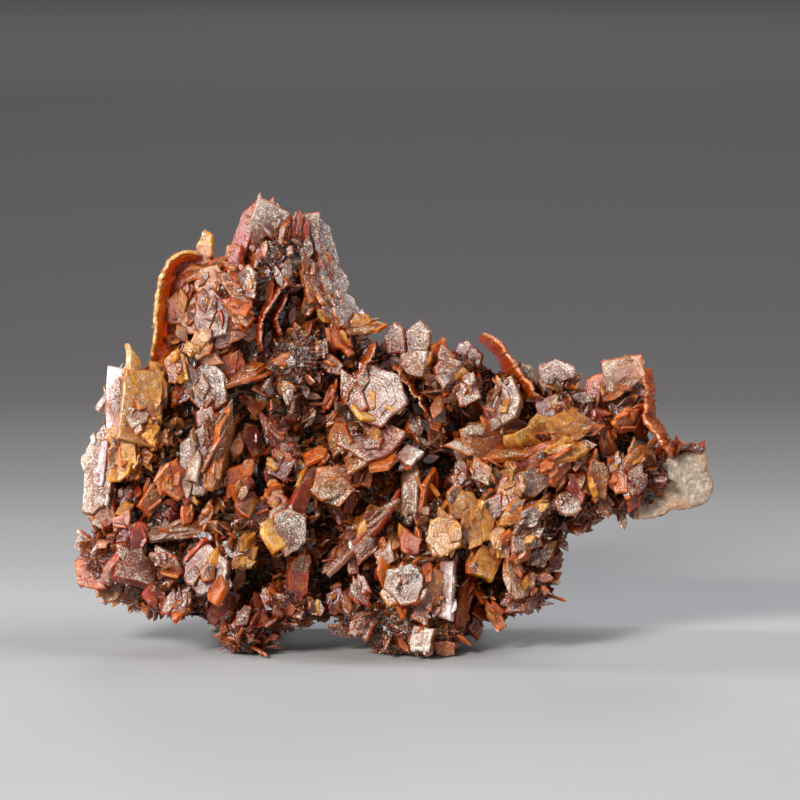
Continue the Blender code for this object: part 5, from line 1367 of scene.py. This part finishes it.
def roughened(points, faces, sizes, depths):
    """Points moved along their normals by noise of these sizes and depths, in millimetres."""
    shift = np.zeros(len(points))
    for size, depth in zip(sizes, depths):
        frequency = 1 / (size * MM)
        shift += depth * np.array([noise.noise(Vector(p) * frequency) for p in points])
    return points + point_normals(points, faces) * (shift * MM)[:, None]


def filled_cells(skins, chance):
    """Cells of GAP_CELL that hold some surface, as a grid with its lowest corner."""
    spots = np.concatenate([spread_over(*skin, GAP_SAMPLES, chance)[0] for skin in skins])
    corner = spots.min(0) - GAP_MARGIN * MM
    size = np.ceil((np.ptp(spots, axis=0) / MM + 2 * GAP_MARGIN) / GAP_CELL).astype(int)
    grid = np.zeros(size, bool)
    grid[tuple(((spots - corner) / (GAP_CELL * MM)).astype(int).T)] = True
    return grid, corner


def clear_share(grid, corner, points):
    """Share of the ways out of each point, all round, that meet no filled cell."""
    steps = np.array([(x, y, z) for x in (-1, 0, 1) for y in (-1, 0, 1) for z in (-1, 0, 1)
                      if (x, y, z) != (0, 0, 0)], float)
    clear = np.zeros(len(points))
    for way in unit(steps):
        free = np.ones(len(points), bool)
        for reach in GAP_REACHES:
            cells = ((points + way * reach * MM - corner) / (GAP_CELL * MM)).astype(int)
            cells = np.clip(cells, 0, np.array(grid.shape) - 1)
            free &= ~grid[tuple(cells.T)]
        clear += free
    return clear / len(steps)


class Wire:
    """A shader socket that takes part in sums: every operator adds a Math node."""

    def __init__(self, finish, socket):
        self.finish, self.socket = finish, socket

    def maths(self, operation, *values, clamp=False):
        """A Math node on these values."""
        settings = {"operation": operation, "use_clamp": clamp}
        return self.finish.node("ShaderNodeMath", settings, dict(enumerate(values)))

    def __add__(self, other):
        return self.maths("ADD", self, other)

    def __sub__(self, other):
        return self.maths("SUBTRACT", self, other)

    def __rsub__(self, other):
        return self.maths("SUBTRACT", other, self)

    def __mul__(self, other):
        return self.maths("MULTIPLY", self, other)

    def __gt__(self, other):
        return self.maths("GREATER_THAN", self, other)

    def clamped(self):
        """Kept from 0 to 1."""
        return self.maths("ADD", self, 0.0, clamp=True)

    def between(self, low, high):
        """Rises smoothly from 0 at low to 1 at high."""
        settings = {"interpolation_type": "SMOOTHSTEP"}
        return self.finish.node("ShaderNodeMapRange", settings, {0: self, 1: low, 2: high})


class Finish:
    """The nodes of one material."""

    def __init__(self, name):
        self.material = bpy.data.materials.new(name)
        self.material.use_nodes = True
        self.tree = self.material.node_tree
        self.tree.nodes.clear()

    def node(self, kind, settings=None, sockets=None, output=0):
        """Adds a node: its settings first, then the values or links of its sockets."""
        made = self.tree.nodes.new(kind)
        for name, value in (settings or {}).items():
            setattr(made, name, value)
        for name, value in (sockets or {}).items():
            if isinstance(value, Wire):
                self.tree.links.new(value.socket, made.inputs[name])
            else:
                made.inputs[name].default_value = value
        return None if output is None else Wire(self, made.outputs[output])

    def mixed(self, share, first, second):
        """A colour between two colours."""
        settings = {"data_type": "RGBA"}
        return self.node("ShaderNodeMix", settings, {0: share, 6: first, 7: second}, 2)

    def vector(self, operation, first, second=(0, 0, 0), scale=1.0):
        """A sum with vectors."""
        settings = {"operation": operation}
        return self.node("ShaderNodeVectorMath", settings, {0: first, 1: second, 3: scale})

    def spot(self):
        """The place on the specimen, in metres."""
        return self.node("ShaderNodeTexCoord", output="Object")

    def attribute(self, name, output="Color"):
        """A point attribute, as a colour or as a number ("Fac")."""
        return self.node("ShaderNodeAttribute", {"attribute_name": name}, output=output)

    def noise(self, size, detail=3.0, roughness=0.6):
        """Soft noise with patches of about this size in millimetres."""
        sockets = {"Vector": self.spot(), "Scale": 1 / (size * MM), "Detail": detail,
                   "Roughness": roughness}
        return self.node("ShaderNodeTexNoise", None, sockets)

    def cells(self, size):
        """A colour by chance for each cell of about this size in millimetres."""
        sockets = {"Vector": self.spot(), "Scale": 1 / (size * MM)}
        return self.node("ShaderNodeTexVoronoi", None, sockets, "Color")

    def channel(self, colour, name="Red"):
        """One channel of a colour."""
        return self.node("ShaderNodeSeparateColor", None, {0: colour}, name)

    def relief(self, size, height, **sockets):
        """A bump of a size's strength and depth in millimetres."""
        strength, depth = size
        return self.node("ShaderNodeBump", None, {
            "Strength": strength, "Distance": depth * MM, "Height": height, **sockets})

    def surface(self, shader):
        """Ends the material with this shader."""
        self.node("ShaderNodeOutputMaterial", None, {"Surface": shader}, None)
        return self.material


def rgba(colour):
    """A colour with full alpha."""
    return (*colour, 1.0)


def crystal_finish(name, looks, glitter):
    """Glassy crystal with frosted facets and rims that let light through."""
    finish = Finish(name)
    tint, glow = finish.attribute("tint"), finish.attribute("glow", "Fac")
    frost = finish.attribute("frost", "Fac")
    facet = finish.cells(looks.facet_size / MM)
    pick = finish.channel(facet)
    cloud, pit, grain = finish.noise(CLOUD), finish.noise(PIT), finish.noise(GRAIN, 2.0)
    rusty = finish.mixed(cloud.between(*RUSTING) * RUST_SHARE, tint, rgba(looks.rust))
    shade = pit.between(*PITTING) * PIT_SHARE + (1 - PIT_SHARE)
    body = finish.mixed(shade, rgba(looks.depth), rusty)
    frosted = (frost * FROST_GAIN + (cloud - 0.5) * BY_CLOUD + (grain - 0.5) * BY_GRAIN
               + (pick - 0.5) * BY_FACET)
    frosted = frosted.between(*FROSTING) * (1 - glow)
    # Painted glints: frosting of the whitest tone takes the glint colour.
    white = finish.channel(tint, "Blue").between(*PAINTED_GLINT_BLUE)
    frosting = finish.mixed(white, rgba(looks.frost_colour), rgba(looks.white))
    colour = finish.mixed((frosted * MOST_FROST).clamped(), body, frosting)
    # Painted glints: chance facets take the glint colour.
    painted_glints = (pick > PAINTED_GLINT_ABOVE) * frosted * PAINTED_GLINT_SHARE
    colour = finish.mixed(painted_glints, colour, rgba(looks.white))
    geometry = finish.node("ShaderNodeNewGeometry", output="Normal")
    tilt = finish.vector("SUBTRACT", facet, (0.5, 0.5, 0.5))
    tilt = finish.vector("SCALE", tilt, scale=glitter)
    tilted = finish.vector("NORMALIZE", finish.vector("ADD", geometry, tilt))
    relief = finish.relief(CRYSTAL_RELIEF, grain, Normal=tilted)
    shader = finish.node("ShaderNodeBsdfPrincipled", None, {
        "Base Color": colour, "Roughness": pick * FACET_ROUGHNESS + looks.roughness,
        "IOR": looks.ior, "Normal": relief})
    through = finish.node("ShaderNodeBsdfTranslucent", None, {"Color": rgba(looks.through)})
    share = (glow * looks.glow_share * cloud.between(*GLOWING)).clamped()
    both = finish.node("ShaderNodeMixShader", None, {0: share, 1: shader, 2: through})
    return finish.surface(both)


def rock_finish(looks):
    """Dull grey-brown rock, rusty and stained near the crystals."""
    finish = Finish("grey_rock_finish")
    glow = finish.attribute("glow", "Fac")
    patch, grain = finish.noise(*STAIN_NOISE), finish.noise(*GRAIN_NOISE)
    pick = finish.channel(finish.cells(FLECK_SIZE))
    stone = finish.mixed(grain.between(*PALE_GRAIN), rgba(looks.shade), rgba(looks.stone))
    stone = finish.mixed((pick > FLECK_ABOVE) * FLECK, stone, rgba(looks.fleck))
    rusty = (patch.between(*STAINS) * STAIN + glow * RIM_STAIN) * grain.between(*STAIN_GRAIN)
    stone = finish.mixed(rusty.clamped(), stone, rgba(looks.rust))
    relief = finish.relief(ROCK_RELIEF, grain + patch * 0.5)
    shader = finish.node("ShaderNodeBsdfPrincipled", None, {
        "Base Color": stone, "Roughness": grain * GRAIN_ROUGHNESS + ROCK_ROUGHNESS,
        "Normal": relief})
    return finish.surface(shader)


def colour_of(name, description, default):
    """A colour on the panel."""
    return bpy.props.FloatVectorProperty(
        name=name, description=description, default=default, subtype="COLOR", size=3,
        min=0.0, max=1.0)


def length_of(name, description, default):
    """A length on the panel, its default in mm."""
    return bpy.props.FloatProperty(
        name=name, description=description, default=default * MM, min=0.0, unit="LENGTH",
        precision=5)


def share_of(name, description, default):
    """A number from 0 to 1 on the panel."""
    return bpy.props.FloatProperty(
        name=name, description=description, default=default, min=0.0, max=1.0,
        subtype="FACTOR")


def number_of(name, description, default):
    """A count on the panel."""
    return bpy.props.IntProperty(name=name, description=description, default=default, min=0)


class ToneSettings(bpy.types.PropertyGroup):
    """Colours of the crystals' faces and rims."""

    mauve: colour_of("Mauve", "Frosted grey-mauve faces", (0.10, 0.056, 0.038))
    pink: colour_of("Pink", "Frosted pinkish faces", (0.135, 0.062, 0.03))
    pale: colour_of("Pale", "Whitish faces", (0.34, 0.23, 0.16))
    tan: colour_of("Tan", "Tan faces", (0.19, 0.086, 0.012))
    amber: colour_of("Amber", "Clear amber faces", (0.38, 0.16, 0.004))
    yellow: colour_of("Yellow", "Clear yellow faces", (0.6, 0.3, 0.004))
    orange: colour_of("Orange", "Orange faces", (0.33, 0.068, 0.001))
    red: colour_of("Red", "Dark red faces", (0.15, 0.012, 0.001))
    plum: colour_of("Plum", "Plum-coloured faces", (0.11, 0.024, 0.009))
    umber: colour_of("Umber", "Dark brown faces", (0.055, 0.015, 0.003))
    # Painted glint: the whitest tone stands in for highlights.
    white: colour_of("White", "White glints", (0.4, 0.32, 0.3))
    ash: colour_of("Ash", "Grey druse", (0.13, 0.085, 0.07))
    flame: colour_of("Flame", "Bright orange rims", (0.76, 0.165, 0.001))
    ember: colour_of("Ember", "Red-orange rims", (0.5, 0.046, 0.001))
    honey: colour_of("Honey", "Amber rims", (0.7, 0.3, 0.004))


class CrystalLooks(bpy.types.PropertyGroup):
    """Finish of the crystals."""

    facet_size: length_of("Facet size", "Size of the tiny facets on a frosted face", 0.17)
    rust: colour_of("Rust", "Warm stain in the faces", (0.34, 0.12, 0.002))
    depth: colour_of("Depth", "Colour of pits and thick places", (0.03, 0.004, 0.0003))
    frost_colour: colour_of("Frost", "Colour of the frosting", (0.355, 0.31, 0.262))
    # Painted glint: colour of glinting grains and of the whitest tone's frosting.
    white: colour_of("White", "Colour of the brightest grains", (0.9, 0.88, 0.86))
    through: colour_of("Light through", "Colour of light through a rim", (1.0, 0.26, 0.006))
    roughness: share_of("Roughness", "Least roughness of a facet", 0.06)
    glow_share: share_of("Glow", "How much light a rim lets through", 0.6)
    ior: bpy.props.FloatProperty(
        name="Refraction", description="Index of refraction of the crystal", default=1.6,
        min=1.0, max=3.0)


class GrowthSettings(bpy.types.PropertyGroup):
    """How many small crystals grow, and how fine the bed is."""

    bed_voxel: length_of("Bed detail", "Finest detail of the bed of druse", 0.62)
    sisters: number_of("Sister plates", "Thinner plates beside each big one", 5)
    daughters: share_of("Daughters", "Small lozenges per square mm of a plate", 0.08)
    young: number_of("Young crystals", "Half-grown lozenges in the gaps", 2800)
    needles: number_of("Fine druse", "Finest blades over everything", 25000)


class RockLooks(bpy.types.PropertyGroup):
    """Finish and detail of the rock."""

    voxel: length_of("Detail", "Finest detail of the rock's surface", 0.55)
    stone: colour_of("Stone", "Main colour of the rock", (0.33, 0.264, 0.2))
    shade: colour_of("Shade", "Colour in the rock's pores", (0.2, 0.15, 0.11))
    fleck: colour_of("Fleck", "Pale grains", (0.46, 0.4, 0.34))
    rust: colour_of("Rust", "Rust next to the crystals", (0.36, 0.13, 0.04))


class StageSettings(bpy.types.PropertyGroup):
    """The floor, the lights and the camera."""

    floor: colour_of("Floor", "Colour of the floor", (0.289, 0.287, 0.292))
    # Far floor: a darker backdrop together with painted fall-off of the light.
    far: colour_of("Far floor", "Colour of the floor behind the specimen", (0.075, 0.07, 0.069))
    distance: length_of("Distance", "From the camera to the crystals", 1200.0)
    lens: bpy.props.FloatProperty(
        name="Lens", description="Focal length of the camera in millimetres", default=346.0,
        min=10.0, max=1000.0)


@cache
def the_specimen():
    """The shared seats and surfaces, made on first use."""
    return Specimen()


def crystal_material(context, name="frosted_crystal"):
    """The finish of the crystals or of the druse, made on first use."""
    looks = context.scene.specimen_crystal
    return bpy.data.materials.get(name) or crystal_finish(name, looks, GLITTER[name])


def grown(context, name, add, amount, druse_share=0.0):
    """Makes one piece of crystals, with its own draws, and notes how much druse grows on it."""
    growth, chance = Growth(), np.random.default_rng(SEEDS[name])
    add(growth, the_specimen(), palette_of(context), chance, amount)
    if druse_share:
        the_specimen().ground(*growth.skin(), druse_share)
    as_crystals(growth.piece(name, crystal_material(context)))
    return {"FINISHED"}


class SPECIMEN_OT_rock(bpy.types.Operator):
    """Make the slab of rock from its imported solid, with a broken, pitted surface"""

    bl_idname = "specimen.rock"
    bl_label = "Rock slab"

    def execute(self, context):
        looks = context.scene.specimen_rock
        slab = prism(ROCK_FACE, ROCK_FACE_DEPTH)
        points, faces = merged([triangles_of(frame["nodes"]["matrix"].data), slab])
        points, faces = melted(points, faces, looks.voxel / MM)
        points = roughened(points, faces, *ROCK_NOISE)
        across, up, out = leaning_spots(points).T
        foot = np.interp(across, *np.array(ROCK_FOOT).T)
        foot += FOOT_WAVE * np.sin(across * FOOT_PACE)
        broken = (across > ROCK_FOOT[1][0]) & (out > ROCK_FACE_DEPTH[0] - FOOT_DEPTH)
        up = np.where(broken, np.maximum(up, foot), up)
        front = (ROCK_HIDDEN, ROCK_FACE_DEPTH[1] + FACE_SLACK)
        out = np.minimum(out, np.interp(across, ROCK_SHOWS, front))
        points = place(across, up, out)
        facing = point_normals(points, faces) @ OUT
        rim = np.clip((RUSTY_FACING - facing) * RUSTY_GAIN, 0, 1)
        rim *= np.clip((out + RUSTY_DEPTH) / RUSTY_DEPTH, 0, 1)
        rim *= np.interp(across, ROCK_RUSTS, (0.0, 1.0))
        piece = make_piece("matrix_stone", points, faces, rock_finish(looks),
                           np.tile(looks.stone, (len(points), 1)), rim, 0)
        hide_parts("matrix")
        return {"FINISHED"}


class SPECIMEN_OT_bed(bpy.types.Operator):
    """Make the bed of grown-together druse that carries the crystals, darkened partly with painted
    shade
    """

    bl_idname = "specimen.bed"
    bl_label = "Druse bed"

    def execute(self, context):
        palette, base = palette_of(context), the_specimen()
        voxel = context.scene.specimen_growth.bed_voxel / MM
        points, faces = melted(base.points, base.faces, voxel)
        points = roughened(points, faces, *BED_NOISE)
        normals = point_normals(points, faces)
        facing = np.clip(normals @ OUT, 0, 1)[:, None]
        sunk = felt(points, HOLLOWS) + (BED_SUNK - DRUSE_RISE * near_druse(points))
        points = points - normals * BED_DRAWN * MM - OUT * (sunk[:, None] * facing) * MM
        # Painted shade: the bed is darkened, partly its own darker tone and partly shade under the
        # plates, and more in the hollows.
        light = BED_TONE_AND_SHADE - HOLLOW_PAINTED_SHADE * in_hollow(points)
        tints = zone_tints(palette, points) * light[:, None]
        base.ground(points, faces, BED_SHARE)
        material = crystal_material(context, "fine_druse")
        as_crystals(make_piece("druse_bed", points, faces, material, tints, 0, BED_FROST))
        return {"FINISHED"}


class SPECIMEN_OT_plates(bpy.types.Operator):
    """Make the big lozenge plates, zone by zone, each in its own place"""

    bl_idname = "specimen.plates"
    bl_label = "Lozenge plates"

    def execute(self, context):
        palette, base = palette_of(context), the_specimen()
        chance = np.random.default_rng(SEEDS["plates"])
        for zone, rows in ZONES.items():
            growth = Growth()
            add_plates(growth, base, palette, chance, rows)
            base.ground(*growth.skin(), PLATE_SHARE * len(rows))
            as_crystals(growth.piece(f"{zone}_plates", crystal_material(context)))
        return {"FINISHED"}


class SPECIMEN_OT_sisters(bpy.types.Operator):
    """Make the thinner plates that grow beside and behind the big ones"""

    bl_idname = "specimen.sisters"
    bl_label = "Sister plates"

    def execute(self, context):
        number = context.scene.specimen_growth.sisters
        return grown(context, "sister_plates", add_sisters, number, SISTER_SHARE)


class SPECIMEN_OT_walls(bpy.types.Operator):
    """Make the thin curved plates that stand edge on"""

    bl_idname = "specimen.walls"
    bl_label = "Curved plates"

    def execute(self, context):
        return grown(context, "curved_plates", add_walls, WALLS, WALL_DRUSE)


class SPECIMEN_OT_daughters(bpy.types.Operator):
    """Make the small lozenges that grow on the rims and faces of the big plates"""

    bl_idname = "specimen.daughters"
    bl_label = "Daughter lozenges"

    def execute(self, context):
        density = context.scene.specimen_growth.daughters
        return grown(context, "daughter_lozenges", add_daughters, density)


class SPECIMEN_OT_young(bpy.types.Operator):
    """Make the half-grown lozenges that stand in the gaps"""

    bl_idname = "specimen.young"
    bl_label = "Young crystals"

    def execute(self, context):
        number = context.scene.specimen_growth.young
        return grown(context, "young_crystals", add_young, number)


class SPECIMEN_OT_druse(bpy.types.Operator):
    """Make the finest blades that frost the bed and the plates"""

    bl_idname = "specimen.druse"
    bl_label = "Fine druse"

    def execute(self, context):
        chance, growth = np.random.default_rng(SEEDS["druse"]), Growth()
        number = context.scene.specimen_growth.needles
        add_druse(growth, the_specimen(), palette_of(context), chance, number)
        points, faces, *layers = growth.joined()
        needles = faces.reshape(-1, NEEDLE_FACES, 3)
        order = np.argsort(points[needles[:, 0, 0], 0])
        for i, share in enumerate(np.array_split(order, DRUSE_PIECES), 1):
            used, inverse = np.unique(needles[share].reshape(-1, 3), return_inverse=True)
            as_crystals(make_piece(f"fine_druse_{i}", points[used], inverse.reshape(-1, 3),
                                   crystal_material(context, "fine_druse"),
                                   *(layer[used] for layer in layers)))
        return {"FINISHED"}


class SPECIMEN_OT_gaps(bpy.types.Operator):
    """Paint shade into the gaps between the crystals: take their frosting out and deepen their
    colour
    """

    bl_idname = "specimen.gaps"
    bl_label = "Deepen the gaps"

    def execute(self, context):
        pieces = [piece for piece in bpy.data.objects if piece.type == "MESH"
                  and "frost" in piece.data.attributes and piece.name != "matrix_stone"]
        skins = [triangles_of(piece.data) for piece in pieces]
        grid, corner = filled_cells(skins, np.random.default_rng(SEEDS["gaps"]))
        for piece, (points, _) in zip(pieces, skins):
            clear = clear_share(grid, corner, points)
            clear = np.clip((clear - GAP_OPEN[0]) / (GAP_OPEN[1] - GAP_OPEN[0]), 0, 1)[:, None]
            tints, glows, frosts = (read_layer(piece.data, name) for name in LAYERS)
            clear = np.maximum(clear, glows * GLOW_KEPT)
            # Painted shade: colours darken towards deep red and lose their frosting where few ways
            # out are clear.
            tints[:, :3] *= PAINTED_GAP_SHADE + (1 - PAINTED_GAP_SHADE) * clear
            write_layer(piece.data, "tint", tints)
            write_layer(piece.data, "frost", frosts * clear - (1 - clear) * PAINTED_SHADE_FROST_CUT)
        return {"FINISHED"}


def aimed(obj, spot, target):
    """Puts a light or camera at a spot, looking at a target."""
    obj.location = spot
    obj.rotation_euler = Vector(np.subtract(target, spot)).to_track_quat("-Z", "Y").to_euler()
    return obj


def soft_light(name, spot, size, power, colour):
    """A rectangle of light that looks at the middle of the specimen."""
    light = bpy.data.lights.new(name, "AREA")
    light.shape = "RECTANGLE"
    light.size, light.size_y = size
    light.energy, light.color = power, colour
    aimed(linked(name, light), spot, LIT_SPOT)


LIT_SPOT = (0.0, 0.0, 0.035)
# Lights: name, spot in metres, size, power in watts and colour.
LIGHTS = [
    ("key_light", (-0.42, -0.6, 0.45), (0.2, 0.2), 12.4, (1.0, 0.97, 0.93)),
    ("front_light", (0.1, -0.85, 0.2), (0.6, 0.4), 2.2, (1.0, 0.98, 0.95)),
    ("left_light", (-0.85, 0.15, 0.26), (0.1, 0.3), 11.0, (0.96, 0.98, 1.0)),
    ("rim_light", (0.55, 0.2, 0.4), (0.2, 0.3), 2.2, (0.82, 0.9, 1.0)),
    ("top_light", (0.45, -0.05, 0.65), (0.4, 0.4), 3.6, (1.0, 1.0, 1.0)),
    ("back_light", (0.1, 0.95, 0.6), (0.6, 0.4), 2.0, (1.0, 1.0, 1.0)),
]
SKY, SKY_STRENGTH = (0.9, 0.95, 1.0, 1.0), 0.02
# The place that the camera looks at, across and up in mm, and its sensor and clipping.
AIM, SENSOR, CLIP = (1.17, 39.78), 36.0, (0.05, 10.0)

# Rows of the floor from front to back: (back in metres, share of the far colour).
# The far share paints the fall-off of the light, and a little shadow behind the specimen, over a
# darker backdrop.
FLOOR_ROWS = [
    (-1.6, 0.1), (-0.115, 0.1), (-0.05, 0.04), (0.0, 0.0), (0.04, 0.02), (0.08, 0.22),
    (0.123, 0.38), (0.169, 0.64), (0.219, 0.81), (0.272, 0.98), (0.329, 1.0), (0.424, 0.97),
    (0.61, 0.84), (0.844, 0.66), (1.08, 0.1), (1.6, 0.0),
]
# Half its width in metres, and its roughness and gloss.
FLOOR_WIDTH, FLOOR_ROUGHNESS, FLOOR_GLOSS = 1.6, 0.5, 0.15


class SPECIMEN_OT_stage(bpy.types.Operator):
    """Make the floor, the soft lights and the camera"""

    bl_idname = "specimen.stage"
    bl_label = "Stage"

    def execute(self, context):
        looks = context.scene.specimen_stage
        self.make_floor(looks)
        for row in LIGHTS:
            soft_light(*row)
        world = bpy.data.worlds.new("studio")
        world.use_nodes = True
        background = world.node_tree.nodes["Background"]
        background.inputs["Color"].default_value = SKY
        background.inputs["Strength"].default_value = SKY_STRENGTH
        context.scene.world = world
        context.scene.view_settings.view_transform = "Standard"
        self.make_camera(context, looks)
        return {"FINISHED"}

    def make_floor(self, looks):
        """A floor that darkens behind the specimen by FLOOR_ROWS: a darker backdrop with painted
        fall-off of the light.
        """
        finish = Finish("studio_paper")
        # The glow attribute here holds the share of the far colour, painted fall-off of the light.
        share = finish.attribute("glow", "Fac")
        shader = finish.node("ShaderNodeBsdfPrincipled", None, {
            "Base Color": finish.mixed(share, rgba(looks.floor), rgba(looks.far)),
            "Roughness": FLOOR_ROUGHNESS, "Specular IOR Level": FLOOR_GLOSS})
        rows = np.array(FLOOR_ROWS)
        xs = (-FLOOR_WIDTH, 0.0, FLOOR_WIDTH)
        size = len(xs)
        faces = []
        for i in range((len(rows) - 1) * size):
            if (i + 1) % size:
                faces += [(i, i + 1, i + size + 1), (i, i + size + 1, i + size)]
        mesh = bpy.data.meshes.new("studio_floor")
        mesh.from_pydata([(x, y, 0.0) for y, _ in rows for x in xs], [], faces)
        write_layer(mesh, "glow", np.repeat(rows[:, 1], size))
        mesh.shade_smooth()
        mesh.materials.append(finish.surface(shader))
        floor = linked("studio_floor", mesh)

    def make_camera(self, context, looks):
        """A long lens square to the leaning face."""
        lens = bpy.data.cameras.new("camera")
        lens.lens, lens.sensor_width = looks.lens, SENSOR
        lens.clip_start, lens.clip_end = CLIP
        target = place(*AIM, 0.0)
        context.scene.camera = aimed(
            linked("camera", lens), target + OUT * looks.distance, target)


class SPECIMEN_PT_panel(bpy.types.Panel):
    """Lists the pieces of the specimen and their settings"""

    bl_label = "Specimen"
    bl_idname = "SPECIMEN_PT_panel"
    bl_space_type = "VIEW_3D"
    bl_region_type = "UI"
    bl_category = "Specimen"

    def draw(self, context):
        for operator in OPERATORS:
            self.layout.operator(operator.bl_idname)
        for name in GROUPS:
            box = self.layout.box()
            group = getattr(context.scene, name)
            for prop in group.bl_rna.properties:
                if prop.identifier not in ("rna_type", "name"):
                    box.prop(group, prop.identifier)


OPERATORS = (
    SPECIMEN_OT_rock, SPECIMEN_OT_bed, SPECIMEN_OT_plates, SPECIMEN_OT_sisters,
    SPECIMEN_OT_walls, SPECIMEN_OT_daughters, SPECIMEN_OT_young, SPECIMEN_OT_druse,
    SPECIMEN_OT_gaps, SPECIMEN_OT_stage,
)
GROUPS = {
    "specimen_tones": ToneSettings, "specimen_crystal": CrystalLooks,
    "specimen_growth": GrowthSettings, "specimen_rock": RockLooks,
    "specimen_stage": StageSettings,
}


def register():
    for made in (*GROUPS.values(), *OPERATORS, SPECIMEN_PT_panel):
        bpy.utils.register_class(made)
    for name, group in GROUPS.items():
        setattr(bpy.types.Scene, name, bpy.props.PointerProperty(type=group))


def unregister():
    for name in GROUPS:
        delattr(bpy.types.Scene, name)
    for made in reversed((*GROUPS.values(), *OPERATORS, SPECIMEN_PT_panel)):
        bpy.utils.unregister_class(made)


def main():
    register()
    for operator in OPERATORS:
        group, _, name = operator.bl_idname.partition(".")
        getattr(getattr(bpy.ops, group), name)()


if __name__ == "__main__":
    main()
